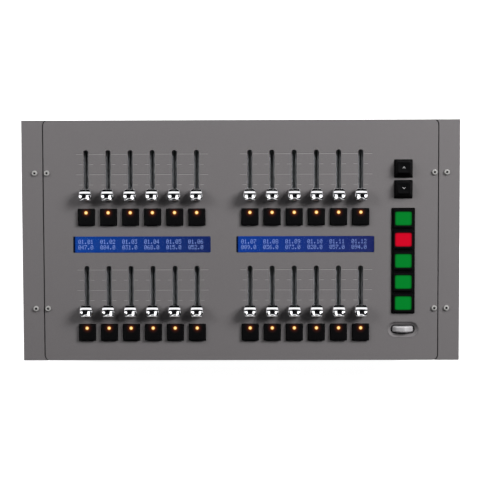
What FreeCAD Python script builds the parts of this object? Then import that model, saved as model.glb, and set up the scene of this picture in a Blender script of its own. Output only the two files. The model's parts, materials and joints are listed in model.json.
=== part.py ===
"""Lighting control desk: a 19 inch wide, six unit deep playback module.

Twenty-four slide faders stand in four groups of six, each with a flash key in front of it and a two-line
display between the rows.  A master column holds two arrow keys, five back-lit screen keys and a thumbwheel.

Units are millimetres.  X runs to the operator's right, Y to the rear of the desk and Z up.
The origin lies under the middle of the desk, on the surface that its feet stand on.
"""

import FreeCAD
import Part

import math
import os

Vector = FreeCAD.Vector
UP = Vector(0, 0, 1)
REARWARD = Vector(0, 1, 0)

# ---------------------------------------------------------------- driving dimensions
# Faders
FADERS_IN_GROUP = 6
FADER_PITCH = 24.4
FADER_TRAVEL = 45.0
SLOT_WIDTH = 5.6
SLOT_END = 4.15  # slot left past the lever's centre at each end of its travel
FADER_BODY_WIDTH = 9.0
FADER_BODY_HEIGHT = 11.0
FADER_BODY_WALL = 2.0
FADER_BODY_ROOF = 3.2
CARRIAGE_LENGTH = 10.0
CARRIAGE_WIDTH = 6.0
LEVER_THICK = 1.2
LEVER_WIDTH = 4.4
KNOB_WIDTH = 14.2
KNOB_LENGTH = 13.8
KNOB_HEIGHT = 11.5
KNOB_LIFT = 2.5  # knob's underside above the panel
KNOB_CORNER = 3.8
KNOB_BARREL_RADIUS = 8.6  # round over the knob, front to back
KNOB_CROWN_RADIUS = 15.6  # round over the knob, side to side
KNOB_SOCKET_DEPTH = 7.5
KNOB_GROOVE_WIDTH = 0.9
KNOB_GROOVE_DEPTH = 0.5

# Flash keys and arrow keys
KEY_SIZE = 18.2
KEY_PROUD = 3.2  # key top above the panel
KEY_TRAVEL = 2.0
KEY_WALL = 1.4
KEY_CORNER = 0.8
KEY_TAPER = 0.5  # drawn in on each side at the top
KEY_SKIRT = 6.5  # skirt below the panel's top face
ARROW_KEY_SIZE = 19.5
ARROW_KEY_PROUD = 8.0
ARROW_TOP_WIDTH = 14.2
ARROW_TOP_LENGTH = 12.0
ARROW_TOP_SHIFT = 1.4  # top's middle behind the key's middle
ARROW_DISH_DEPTH = 0.8
ARROW_DISH_RIM = 0.6
STEM_RADIUS = 2.5
SWITCH_SIZE = 14.0
SWITCH_HEIGHT = 8.0
STEM_REACH = 4.0  # stem inside the switch with the key up
LAMP_RADIUS = 1.5
LAMP_FLANGE = 0.6
LAMP_FLANGE_RADIUS = 1.9
LAMP_OFFSET = 5.1  # lamp behind the key's middle
LAMP_PROUD = 0.25

# Screen keys
SCREEN_KEYS = 5
SCREEN_KEY_PITCH = 23.36
SCREEN_HOUSING_WIDTH = 25.7
SCREEN_HOUSING_PROUD = 0.8
SCREEN_CELL_RIB = 2.3
SCREEN_KEY_WIDTH = 21.6
SCREEN_KEY_PROUD = 3.4
SCREEN_KEY_TRAVEL = 1.8
SCREEN_KEY_DEPTH = 12.0
SCREEN_LENS_WIDTH = 18.6
SCREEN_LENS_LENGTH = 16.0
SCREEN_LENS_THICK = 1.6
SCREEN_LENS_SUNK = 0.3
SCREEN_KEY_CORNER = 1.2
SCREEN_KEY_ROUND = 0.8

# Displays
DISPLAY_OVERHANG = 15.2  # display window past the first and the last fader of its group
DISPLAY_LENGTH = 18.2
DISPLAY_CORNER = 1.2
WINDOW_LAP = 3.0
WINDOW_THICK = 1.5
DISPLAY_CAN_HEIGHT = 6.0
DISPLAY_CAN_WALL = 0.5
GLASS_LAP = 1.0
DISPLAY_BOARD_LAP = 12.0
DISPLAY_BOARD_LENGTH = 33.5

# Thumbwheel
WHEEL_RADIUS = 13.0
WHEEL_WIDTH = 7.0
WHEEL_CROWN = 2.0
WHEEL_PROUD = 3.8
WHEEL_SHAFT_RADIUS = 2.0
SURROUND_LENGTH = 34.7
SURROUND_WIDTH = 17.8
SURROUND_DISH = 2.4
SURROUND_FLANGE = 2.2
SURROUND_WALL = 1.2
CHEEK_THICK = 1.5
CHEEK_GAP = 2.2  # between the wheel's side and the cheek
CHEEK_WIDTH = 14.0
CHEEK_OVER_SHAFT = 3.0
BRACKET_END = 6.0  # bracket's foot past the wheel's cut-out in the board
WHEEL_ROOM = 1.5  # between the wheel's rim and the cut-out
ENCODER_SIZE = 10.0
ENCODER_THICK = 6.0

# Places of the controls on the panel, measured between centres or from the panel's edges
LEFT_MARGIN = 47.1
GROUP_GAP = 58.6
MASTER_GAP = 46.8
RIGHT_MARGIN = 38.1
REAR_MARGIN = 32.7  # to the rear end of the first row's slots
KEY_DROP = 20.75  # from a slot's front end to its flash key
DISPLAY_DROP = 30.35  # from a flash key to the display in front of it
SECOND_ROW_DROP = 23.45  # from a display to the second row's slots
FRONT_MARGIN = 31.3
ARROW_KEY_INSET = 54.1
ARROW_KEY_SPACING = 22.7
SCREEN_KEYS_DROP = 20.3  # from the front arrow key to the screen keys' housing
WHEEL_DROP = 17.75  # from the housing to the wheel
WHEEL_FRONT_MARGIN = 34.25

# Sheet metal
PANEL_THICK = 2.0
PANEL_CORNER = 6.0
PANEL_EDGE_ROUND = 0.4
HOLE_CORNER = 1.0
SEAM_GAP = 1.1
EAR_WIDTH = 24.0  # from the panel's edge to the desk's outer edge, seam included
TRAY_THICK = 1.5
TRAY_SIDE_INSET = 7.0
TRAY_END_INSET = 4.0
TRAY_FLANGE_REACH = 13.0  # flange past the panel's side edge
TRAY_BEND = 2.0
CASE_HEIGHT = 74.0  # tray's underside to the panel's top face
VENTS = 9
VENT_WIDTH = 3.0
VENT_LENGTH = 22.0
VENT_PITCH = 9.0

# Fixings and feet
PANEL_SCREW_INSET = 3.7
EAR_SCREW_OUTSET = 9.7
SCREW_ROW_SPACING = 150.0
SCREW_RADIUS = 1.5
SCREW_THREAD_DEPTH = 0.25  # the free end below the flange is drawn at its thread's root
SCREW_HEAD_RADIUS = 3.0
SCREW_HEAD_HEIGHT = 2.0
SCREW_HEAD_ROUND = 0.8
SCREW_LENGTH = 10.0
SCREW_SOCKET_ACROSS = 2.5
SCREW_SOCKET_DEPTH = 1.3
PILLAR_RADIUS = 3.0
PILLAR_INSET = 4.5
BOARD_SCREW_RADIUS = 1.25
BOARD_SCREW_HEAD_RADIUS = 2.4
BOARD_SCREW_HEAD_HEIGHT = 1.6
BOARD_SCREW_LENGTH = 5.0
FOOT_HEIGHT = 6.0
FOOT_RADIUS = 9.0
FOOT_TIP_RADIUS = 7.5
FOOT_INSET = 26.0

# Boards and electrical pieces
BOARD_THICK = 1.6
BOARD_SIDE_LAP = 8.9  # control board past the first and the last flash key
BOARD_KEY_LAP = 12.0  # in front of the flash keys
BOARD_FADER_LAP = 2.0  # behind the fader bodies
MASTER_BOARD_WIDTH = 52.0
MASTER_BOARD_LAP = 17.0  # behind the rear arrow key and in front of the wheel
HEADER_WIDTH = 24.0
HEADER_LENGTH = 6.0
HEADER_HEIGHT = 5.0
HEADER_INSET = 5.0
MASTER_HEADER_OFFSET = 12.0
RIBBON_WIDTH = 20.0
RIBBON_THICK = 0.9
MAIN_BOARD_WIDTH = 300.0
MAIN_BOARD_LENGTH = 112.0
MAIN_BOARD_LIFT = 6.0
MAIN_BOARD_OVERREACH = 8.0  # past the master column's middle
MAIN_BOARD_Y = -30.0
CHIPS = 4
CHIP_SIZE = 14.0
CHIP_HEIGHT = 1.6
CHIP_SPACING = 40.0
CHIP_ROW_DROP = 28.0  # in front of the main board's middle
SUPPLY_WIDTH = 96.0
SUPPLY_LENGTH = 60.0
SUPPLY_HEIGHT = 34.0
SUPPLY_BEHIND = 32.0  # space for the inlet between the supply and the rear wall
INLET_INSET = 62.0  # from the tray's side to the inlet's middle
INLET_WIDTH = 27.0
INLET_HEIGHT = 20.0
INLET_DEPTH = 20.0
INLET_CAVITY_WIDTH = 23.0
INLET_CAVITY_HEIGHT = 15.5
INLET_CAVITY_DEPTH = 15.0
INLET_PINS = 3
INLET_PIN_LENGTH = 9.0
INLET_PIN_WIDTH = 2.0
INLET_PIN_HEIGHT = 4.0
INLET_PIN_SPACING = 7.0
INLET_PIN_SETBACK = 2.0  # middle pin below the outer two
SOCKET_FLANGE = 3.0
SOCKET_FLANGE_THICK = 1.5
SOCKET_LIFT = 30.0  # sockets' middle above the tray's floor
DATA_SOCKETS = 2
DATA_INSET = 62.0
DATA_SPACING = 30.0
DATA_WIDTH = 16.0
DATA_HEIGHT = 13.5
DATA_DEPTH = 15.0
DATA_CAVITY_WIDTH = 11.8
DATA_CAVITY_HEIGHT = 8.0
DATA_CAVITY_DEPTH = 12.0

# Clearances
KEY_CLEARANCE = 0.5  # key to the edge of its panel hole
FADER_BODY_CLEARANCE = 4.0  # fader body's roof to the panel
SLIDE_CLEARANCE = 0.35  # moving piece to what guides it
FIT_CLEARANCE = 0.1  # fixed piece in its hole
SHAFT_CLEARANCE = 0.08
STEM_END_CLEARANCE = 0.5  # pressed stem above the bottom of its well
SCREW_CLEARANCE = 0.3
WHEEL_END_CLEARANCE = 1.6  # wheel's rim to the ends of its slot, which are round
WHEEL_SIDE_CLEARANCE = 1.2
ROUND_END_TRIM = 0.01  # flat left in the middle of an oblong's round end

# ---------------------------------------------------------------- places worked out from them
GROUP_SPAN = (FADERS_IN_GROUP - 1) * FADER_PITCH
PANEL_WIDTH = LEFT_MARGIN + GROUP_SPAN + GROUP_GAP + GROUP_SPAN + MASTER_GAP + RIGHT_MARGIN
SLOT_LENGTH = FADER_TRAVEL + 2 * SLOT_END
ROW_DEPTH = SLOT_LENGTH + KEY_DROP
FADER_COLUMN_DEPTH = REAR_MARGIN + 2 * ROW_DEPTH + DISPLAY_DROP + SECOND_ROW_DROP + FRONT_MARGIN
HOUSING_LENGTH = SCREEN_KEYS * SCREEN_KEY_PITCH
MASTER_COLUMN_DEPTH = (
    ARROW_KEY_INSET + ARROW_KEY_SPACING + SCREEN_KEYS_DROP + HOUSING_LENGTH + WHEEL_DROP + WHEEL_FRONT_MARGIN
)
PANEL_DEPTH = max(FADER_COLUMN_DEPTH, MASTER_COLUMN_DEPTH)

PANEL_SIDE = PANEL_WIDTH / 2
PANEL_REAR = PANEL_DEPTH / 2
DESK_SIDE = PANEL_SIDE + EAR_WIDTH
PANEL_TOP = FOOT_HEIGHT + CASE_HEIGHT
PANEL_UNDER = PANEL_TOP - PANEL_THICK
FADER_BODY_TOP = PANEL_UNDER - FADER_BODY_CLEARANCE
BOARD_TOP = FADER_BODY_TOP - FADER_BODY_HEIGHT
BOARD_UNDER = BOARD_TOP - BOARD_THICK
TRAY_FLOOR = FOOT_HEIGHT + TRAY_THICK

LEFT_GROUP_X = -PANEL_SIDE + LEFT_MARGIN + GROUP_SPAN / 2
RIGHT_GROUP_X = LEFT_GROUP_X + GROUP_SPAN + GROUP_GAP
GROUPS_X = (LEFT_GROUP_X, RIGHT_GROUP_X)
MASTER_X = PANEL_SIDE - RIGHT_MARGIN
UPPER_SLOT_Y = PANEL_REAR - REAR_MARGIN - SLOT_LENGTH / 2
UPPER_KEY_Y = UPPER_SLOT_Y - SLOT_LENGTH / 2 - KEY_DROP
DISPLAY_Y = UPPER_KEY_Y - DISPLAY_DROP
LOWER_SLOT_Y = DISPLAY_Y - SECOND_ROW_DROP - SLOT_LENGTH / 2
LOWER_KEY_Y = LOWER_SLOT_Y - SLOT_LENGTH / 2 - KEY_DROP
ROWS = (("upper", UPPER_SLOT_Y, UPPER_KEY_Y), ("lower", LOWER_SLOT_Y, LOWER_KEY_Y))
UP_KEY_Y = PANEL_REAR - ARROW_KEY_INSET
DOWN_KEY_Y = UP_KEY_Y - ARROW_KEY_SPACING
HOUSING_Y = DOWN_KEY_Y - SCREEN_KEYS_DROP - HOUSING_LENGTH / 2
WHEEL_Y = HOUSING_Y - HOUSING_LENGTH / 2 - WHEEL_DROP
WHEEL_AXIS_Z = PANEL_TOP + WHEEL_PROUD - WHEEL_RADIUS

DISPLAY_WIDTH = GROUP_SPAN + 2 * DISPLAY_OVERHANG
DISPLAY_CAN_TOP = PANEL_UNDER - WINDOW_THICK
DISPLAY_BOARD_TOP = DISPLAY_CAN_TOP - DISPLAY_CAN_HEIGHT
STEM_WELL_DEPTH = STEM_REACH + KEY_TRAVEL + STEM_END_CLEARANCE
TRAY_SIDE = PANEL_SIDE - TRAY_SIDE_INSET
TRAY_END = PANEL_REAR - TRAY_END_INSET
SOCKET_Z = TRAY_FLOOR + SOCKET_LIFT
INLET_X = TRAY_SIDE - INLET_INSET
DATA_X = [DATA_INSET - TRAY_SIDE + index * DATA_SPACING for index in range(DATA_SOCKETS)]

FADER_BODY_LENGTH = FADER_TRAVEL + CARRIAGE_LENGTH + 2 * (SLIDE_CLEARANCE + FADER_BODY_WALL)
CONTROL_BOARD_X = (LEFT_GROUP_X + RIGHT_GROUP_X) / 2
CONTROL_BOARD_WIDTH = 2 * GROUP_SPAN + GROUP_GAP + KEY_SIZE + 2 * BOARD_SIDE_LAP
MASTER_BOARD_REAR = UP_KEY_Y + MASTER_BOARD_LAP
MASTER_BOARD_FRONT = WHEEL_Y - MASTER_BOARD_LAP
MAIN_BOARD_X = MASTER_X + MAIN_BOARD_OVERREACH - MAIN_BOARD_WIDTH / 2
MAIN_BOARD_UNDER = TRAY_FLOOR + MAIN_BOARD_LIFT
MAIN_BOARD_TOP = MAIN_BOARD_UNDER + BOARD_THICK

SCREEN_CELL_LENGTH = SCREEN_KEY_PITCH - SCREEN_CELL_RIB
SCREEN_CELL_WIDTH = SCREEN_KEY_WIDTH + 2 * SLIDE_CLEARANCE
SCREEN_KEY_LENGTH = SCREEN_CELL_LENGTH - 2 * SLIDE_CLEARANCE

CHEEK_INNER = WHEEL_WIDTH / 2 + CHEEK_GAP
CHEEK_OUTER = CHEEK_INNER + CHEEK_THICK
WHEEL_HOLE_LENGTH = 2 * (WHEEL_RADIUS + WHEEL_ROOM)
SURROUND_LOW = PANEL_TOP - SURROUND_DISH - SURROUND_WALL
WHEEL_CHORD = 2 * math.sqrt(WHEEL_RADIUS**2 - (SURROUND_LOW - WHEEL_AXIS_Z) ** 2)
WHEEL_SLOT_LENGTH = WHEEL_CHORD + 2 * WHEEL_END_CLEARANCE
WHEEL_SLOT_WIDTH = WHEEL_WIDTH + 2 * WHEEL_SIDE_CLEARANCE


# ---------------------------------------------------------------- small shapes
def block(x, y, width, length, low, high):
    """A box centred on x, y between two heights."""
    return Part.makeBox(width, length, high - low, Vector(x - width / 2, y - length / 2, low))


def rod(x, y, radius, low, high):
    """A vertical cylinder."""
    return Part.makeCylinder(radius, high - low, Vector(x, y, low), UP)


def rounded_outline(x, y, width, length, corner, height):
    """A closed rectangle with round corners, flat at a height."""
    half_w, half_l, back = width / 2, length / 2, corner * (1 - math.sqrt(0.5))
    edges = []
    ends = []
    for side_x, side_y in ((1, -1), (1, 1), (-1, 1), (-1, -1)):
        corner_x, corner_y = x + side_x * half_w, y + side_y * half_l
        along_x = Vector(corner_x - side_x * corner, corner_y, height)
        along_y = Vector(corner_x, corner_y - side_y * corner, height)
        middle = Vector(corner_x - side_x * back, corner_y - side_y * back, height)
        first, last = (along_x, along_y) if side_x * side_y < 0 else (along_y, along_x)
        ends.append((first, middle, last))
    for index, (first, middle, last) in enumerate(ends):
        edges.append(Part.Arc(first, middle, last).toShape())
        following = ends[(index + 1) % len(ends)][0]
        if (following - last).Length > 1e-6:
            edges.append(Part.LineSegment(last, following).toShape())
    return Part.Wire(edges)


def rounded_block(x, y, width, length, corner, low, high):
    """A block whose upright edges are round."""
    face = Part.Face(rounded_outline(x, y, width, length, corner, low))
    return face.extrude(Vector(0, 0, high - low))


def oblong(x, y, width, length, low, high):
    """A block with fully round ends on its shorter sides."""
    corner = min(width, length) / 2 - ROUND_END_TRIM
    return rounded_block(x, y, width, length, corner, low, high)


def tapered_block(base, low, top, high, corner):
    """A round-cornered block between two rectangles, each given as (x, y, width, length)."""
    outlines = [rounded_outline(*base, corner, low), rounded_outline(*top, corner, high)]
    return Part.makeLoft(outlines, True, True)


def in_group(group_x):
    """X of each fader in a group."""
    return [group_x - GROUP_SPAN / 2 + index * FADER_PITCH for index in range(FADERS_IN_GROUP)]


def all_faders():
    """(x, slot's middle y) of every fader, left to right and then the front row."""
    return [(x, slot_y) for _, slot_y, _ in ROWS for group_x in GROUPS_X for x in in_group(group_x)]


def all_flash_keys():
    """(x, y) of every flash key."""
    return [(x, key_y) for _, _, key_y in ROWS for group_x in GROUPS_X for x in in_group(group_x)]


# ---------------------------------------------------------------- sheet metal
def screw_pairs(x):
    """(x, y) of four screws, two on each side of the desk."""
    half = SCREW_ROW_SPACING / 2
    return [(side * x, y) for side in (-1, 1) for y in (-half, half)]


def panel_screw_places():
    return screw_pairs(PANEL_SIDE - PANEL_SCREW_INSET)


def ear_screw_places():
    return screw_pairs(PANEL_SIDE + EAR_SCREW_OUTSET)


def top_panel():
    plate = rounded_block(0, 0, PANEL_WIDTH, PANEL_DEPTH, PANEL_CORNER, PANEL_UNDER, PANEL_TOP)
    rim = [edge for edge in plate.Edges if edge.BoundBox.ZMin > PANEL_TOP - 1e-3]
    plate = plate.makeFillet(PANEL_EDGE_ROUND, rim)
    low, high = PANEL_UNDER - 1, PANEL_TOP + 1
    hole = KEY_SIZE + 2 * KEY_CLEARANCE
    arrow_hole = ARROW_KEY_SIZE + 2 * KEY_CLEARANCE
    cutters = [oblong(x, y, SLOT_WIDTH, SLOT_LENGTH, low, high) for x, y in all_faders()]
    cutters += [rounded_block(x, y, hole, hole, HOLE_CORNER, low, high) for x, y in all_flash_keys()]
    for y in (UP_KEY_Y, DOWN_KEY_Y):
        cutters.append(rounded_block(MASTER_X, y, arrow_hole, arrow_hole, HOLE_CORNER, low, high))
    for x in GROUPS_X:
        cutters.append(rounded_block(x, DISPLAY_Y, DISPLAY_WIDTH, DISPLAY_LENGTH, DISPLAY_CORNER, low, high))
    housing_width = SCREEN_HOUSING_WIDTH + 2 * FIT_CLEARANCE
    housing_length = HOUSING_LENGTH + 2 * FIT_CLEARANCE
    cutters.append(rounded_block(MASTER_X, HOUSING_Y, housing_width, housing_length, HOLE_CORNER, low, high))
    surround_length = SURROUND_LENGTH + 2 * FIT_CLEARANCE
    surround_width = SURROUND_WIDTH + 2 * FIT_CLEARANCE
    cutters.append(oblong(MASTER_X, WHEEL_Y, surround_length, surround_width, low, high))
    cutters += [rod(x, y, SCREW_RADIUS + SCREW_CLEARANCE, low, high) for x, y in panel_screw_places()]
    return [plate.cut(cutters)]


def ear(side):
    """A flat strip beside the panel; its inner edge keeps a seam away from the panel's rounded outline."""
    inner = PANEL_SIDE - PANEL_CORNER
    low, high = PANEL_UNDER - 1, PANEL_TOP + 1
    strip = Part.makeBox(DESK_SIDE - inner, PANEL_DEPTH, PANEL_THICK, Vector(inner, -PANEL_REAR, PANEL_UNDER))
    wide, long = PANEL_WIDTH + 2 * SEAM_GAP, PANEL_DEPTH + 2 * SEAM_GAP
    panel_room = rounded_block(0, 0, wide, long, PANEL_CORNER + SEAM_GAP, low, high)
    plate = max(strip.cut(panel_room).Solids, key=lambda solid: solid.Volume)
    holes = [rod(x, y, SCREW_RADIUS + SCREW_CLEARANCE, low, high) for x, y in ear_screw_places() if x > 0]
    plate = plate.cut(holes)
    return [plate if side > 0 else plate.mirror(Vector(0, 0, 0), Vector(1, 0, 0))]


def base_tray():
    """A folded tray with a flange turned outwards along each side."""
    outer = block(0, 0, 2 * TRAY_SIDE, 2 * TRAY_END, FOOT_HEIGHT, PANEL_UNDER)
    low_edges = [edge for edge in outer.Edges if edge.BoundBox.ZMax < FOOT_HEIGHT + 1e-3]
    outer = outer.makeFillet(TRAY_BEND, low_edges)
    inner_width, inner_length = 2 * (TRAY_SIDE - TRAY_THICK), 2 * (TRAY_END - TRAY_THICK)
    inner = block(0, 0, inner_width, inner_length, TRAY_FLOOR, PANEL_UNDER + 1)
    low, high = PANEL_UNDER - TRAY_THICK, PANEL_UNDER
    flanges = block(0, 0, 2 * (PANEL_SIDE + TRAY_FLANGE_REACH), PANEL_DEPTH, low, high)
    between = block(0, 0, inner_width, PANEL_DEPTH + 2, low - 1, high + 1)
    tray = outer.cut(inner).fuse(flanges.cut(between)).removeSplitter()
    places = panel_screw_places() + ear_screw_places()
    cutters = [rod(x, y, SCREW_RADIUS + FIT_CLEARANCE, low - 1, high + 1) for x, y in places]
    cutters += vents()
    cutters.append(rear_hole(INLET_X, INLET_WIDTH, INLET_HEIGHT))
    cutters += [rear_hole(x, DATA_WIDTH, DATA_HEIGHT) for x in DATA_X]
    return [tray.cut(cutters)]


def vents():
    """Upright slots through both side walls, in a row along the desk."""
    low = (TRAY_FLOOR + BOARD_UNDER - VENT_LENGTH) / 2
    row = [(index - (VENTS - 1) / 2) * VENT_PITCH for index in range(VENTS)]
    return [block(0, y, 2 * TRAY_SIDE + 2, VENT_WIDTH, low, low + VENT_LENGTH) for y in row]


def rear_hole(x, width, height):
    """A rectangular hole through the rear wall for a socket's body."""
    wide, high = width + 2 * FIT_CLEARANCE, height + 2 * FIT_CLEARANCE
    return block(x, TRAY_END, wide, 4 * TRAY_THICK, SOCKET_Z - high / 2, SOCKET_Z + high / 2)


# ---------------------------------------------------------------- faders
def fader_body(x, y):
    """A closed channel that the carriage slides in, with a slit in its roof for the lever."""
    low, high = BOARD_TOP + FADER_BODY_WALL, FADER_BODY_TOP - FADER_BODY_ROOF
    body = block(x, y, FADER_BODY_WIDTH, FADER_BODY_LENGTH, BOARD_TOP, FADER_BODY_TOP)
    channel_length = FADER_BODY_LENGTH - 2 * FADER_BODY_WALL
    channel = block(x, y, CARRIAGE_WIDTH + 2 * SLIDE_CLEARANCE, channel_length, low, high)
    slit_length = FADER_TRAVEL + LEVER_WIDTH + 2 * SLIDE_CLEARANCE
    slit = block(x, y, LEVER_THICK + 2 * SLIDE_CLEARANCE, slit_length, low, FADER_BODY_TOP + 1)
    return body.cut([channel, slit])


def fader(x, slot_y):
    """Knob and lever at the front end of the travel."""
    y = slot_y - FADER_TRAVEL / 2
    knob_low = PANEL_TOP + KNOB_LIFT
    knob_high = knob_low + KNOB_HEIGHT
    knob = rounded_block(x, y, KNOB_WIDTH, KNOB_LENGTH, KNOB_CORNER, knob_low, knob_high)
    across, along = Vector(1, 0, 0), REARWARD
    barrel_start = Vector(x - KNOB_WIDTH, y, knob_high - KNOB_BARREL_RADIUS)
    barrel = Part.makeCylinder(KNOB_BARREL_RADIUS, 2 * KNOB_WIDTH, barrel_start, across)
    crown_start = Vector(x, y - KNOB_LENGTH, knob_high - KNOB_CROWN_RADIUS)
    crown = Part.makeCylinder(KNOB_CROWN_RADIUS, 2 * KNOB_LENGTH, crown_start, along)
    groove = block(x, y, KNOB_WIDTH + 2, KNOB_GROOVE_WIDTH, knob_high - KNOB_GROOVE_DEPTH, knob_high + 1)
    socket_high = knob_low + KNOB_SOCKET_DEPTH
    socket_thick, socket_width = LEVER_THICK + 2 * FIT_CLEARANCE, LEVER_WIDTH + 2 * FIT_CLEARANCE
    socket = block(x, y, socket_thick, socket_width, knob_low - 1, socket_high)
    knob = knob.common(barrel).common(crown).cut([groove, socket])
    carriage_low = BOARD_TOP + FADER_BODY_WALL + SLIDE_CLEARANCE
    carriage_high = FADER_BODY_TOP - FADER_BODY_ROOF - SLIDE_CLEARANCE
    carriage = block(x, y, CARRIAGE_WIDTH, CARRIAGE_LENGTH, carriage_low, carriage_high)
    lever = block(x, y, LEVER_THICK, LEVER_WIDTH, carriage_high, socket_high - FIT_CLEARANCE)
    return [knob, carriage.fuse(lever).removeSplitter()]


# ---------------------------------------------------------------- keys
def switch_body(x, y):
    """A switch on the control board with a round well for the key's stem."""
    top = BOARD_TOP + SWITCH_HEIGHT
    body = rounded_block(x, y, SWITCH_SIZE, SWITCH_SIZE, KEY_CORNER, BOARD_TOP, top)
    return body.cut(rod(x, y, STEM_RADIUS + SLIDE_CLEARANCE, top - STEM_WELL_DEPTH, top + 1))


def key_cap(x, y, size, proud, top, roof):
    """A hollow cap on a round stem, straight up to the panel and drawn in to its top above it."""
    low, high = PANEL_TOP - KEY_SKIRT, PANEL_TOP + proud
    top_x, top_y, top_width, top_length = top
    cap = rounded_block(x, y, size, size, KEY_CORNER, low, PANEL_TOP)
    crown = tapered_block((x, y, size, size), PANEL_TOP, top, high, KEY_CORNER)
    room_width, room_length = top_width - 2 * KEY_WALL, top_length - 2 * KEY_WALL
    upper_room = block(top_x, top_y, room_width, room_length, low - 1, high - roof)
    skirt_inside = SWITCH_SIZE + 2 * SLIDE_CLEARANCE
    skirt_room = block(x, y, skirt_inside, skirt_inside, low - 1, PANEL_TOP)
    stem_low = BOARD_TOP + SWITCH_HEIGHT - STEM_REACH
    stem = rod(x, y, STEM_RADIUS, stem_low, high - roof)
    return cap.fuse(crown).removeSplitter().cut([upper_room, skirt_room]).fuse(stem).removeSplitter()


def flash_key(x, y):
    """A flash key with its lamp let into the roof."""
    roof_high = PANEL_TOP + KEY_PROUD
    roof_low = roof_high - KEY_WALL
    lamp_y = y + LAMP_OFFSET
    top_size = KEY_SIZE - 2 * KEY_TAPER
    cap = key_cap(x, y, KEY_SIZE, KEY_PROUD, (x, y, top_size, top_size), KEY_WALL)
    cap = cap.cut(rod(x, lamp_y, LAMP_RADIUS + FIT_CLEARANCE, roof_low - 1, roof_high + 1))
    lamp = rod(x, lamp_y, LAMP_RADIUS, roof_low, roof_high + LAMP_PROUD)
    flange = rod(x, lamp_y, LAMP_FLANGE_RADIUS, roof_low - LAMP_FLANGE, roof_low)
    return [cap, lamp.fuse(flange).removeSplitter()]


def flash_key_row(group_x, key_y):
    return [piece for x in in_group(group_x) for piece in flash_key(x, key_y)]


def arrow_key(y):
    """A taller key, its top set back, with a shallow dish for the fingertip."""
    top_y = y + ARROW_TOP_SHIFT
    top = (MASTER_X, top_y, ARROW_TOP_WIDTH, ARROW_TOP_LENGTH)
    cap = key_cap(MASTER_X, y, ARROW_KEY_SIZE, ARROW_KEY_PROUD, top, KEY_WALL + ARROW_DISH_DEPTH)
    dish_half = ARROW_TOP_LENGTH / 2 - ARROW_DISH_RIM
    dish_radius = (dish_half**2 + ARROW_DISH_DEPTH**2) / (2 * ARROW_DISH_DEPTH)
    dish_low = PANEL_TOP + ARROW_KEY_PROUD - ARROW_DISH_DEPTH
    return [cap.cut(Part.makeSphere(dish_radius, Vector(MASTER_X, top_y, dish_low + dish_radius)))]


def key_switches():
    places = all_flash_keys() + [(MASTER_X, UP_KEY_Y), (MASTER_X, DOWN_KEY_Y)]
    return [switch_body(x, y) for x, y in places]


# ---------------------------------------------------------------- screen keys
def screen_key_places():
    """Y of each screen key, rear first."""
    first = HOUSING_Y + HOUSING_LENGTH / 2 - SCREEN_KEY_PITCH / 2
    return [first - index * SCREEN_KEY_PITCH for index in range(SCREEN_KEYS)]


def screen_key_housing():
    """One moulded frame with a cell for each screen key, standing on the master board."""
    top = PANEL_TOP + SCREEN_HOUSING_PROUD
    width, length = SCREEN_HOUSING_WIDTH, HOUSING_LENGTH
    frame = rounded_block(MASTER_X, HOUSING_Y, width, length, HOLE_CORNER, BOARD_TOP, top)
    floor = PANEL_TOP + SCREEN_KEY_PROUD - SCREEN_KEY_DEPTH - SCREEN_KEY_TRAVEL - SLIDE_CLEARANCE
    cell_width, cell_length = SCREEN_CELL_WIDTH, SCREEN_CELL_LENGTH
    cells = [block(MASTER_X, y, cell_width, cell_length, floor, top + 1) for y in screen_key_places()]
    return [frame.cut(cells)]


def screen_key(y):
    """A key whose cap holds a back-lit window."""
    top = PANEL_TOP + SCREEN_KEY_PROUD
    low = top - SCREEN_KEY_DEPTH
    cap = rounded_block(MASTER_X, y, SCREEN_KEY_WIDTH, SCREEN_KEY_LENGTH, SCREEN_KEY_CORNER, low, top)
    rim = [edge for edge in cap.Edges if edge.BoundBox.ZMin > top - 1e-3]
    cap = cap.makeFillet(SCREEN_KEY_ROUND, rim)
    lens_top = top - SCREEN_LENS_SUNK
    lens_low = lens_top - SCREEN_LENS_THICK
    pocket = block(MASTER_X, y, SCREEN_LENS_WIDTH, SCREEN_LENS_LENGTH, lens_low, top + 1)
    lens_width, lens_length = SCREEN_LENS_WIDTH - 2 * FIT_CLEARANCE, SCREEN_LENS_LENGTH - 2 * FIT_CLEARANCE
    lens = block(MASTER_X, y, lens_width, lens_length, lens_low, lens_top)
    return [cap.cut(pocket), lens]


# ---------------------------------------------------------------- displays
def display_windows():
    wide, long = DISPLAY_WIDTH + 2 * WINDOW_LAP, DISPLAY_LENGTH + 2 * WINDOW_LAP
    return [block(x, DISPLAY_Y, wide, long, DISPLAY_CAN_TOP, PANEL_UNDER) for x in GROUPS_X]


def display_pillars(x):
    """(x, y) of the four pillars that hold one display board under the panel."""
    half_w = DISPLAY_WIDTH / 2 + DISPLAY_BOARD_LAP - PILLAR_INSET
    half_l = DISPLAY_BOARD_LENGTH / 2 - PILLAR_INSET
    return corners(x - half_w, x + half_w, DISPLAY_Y - half_l, DISPLAY_Y + half_l)


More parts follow.
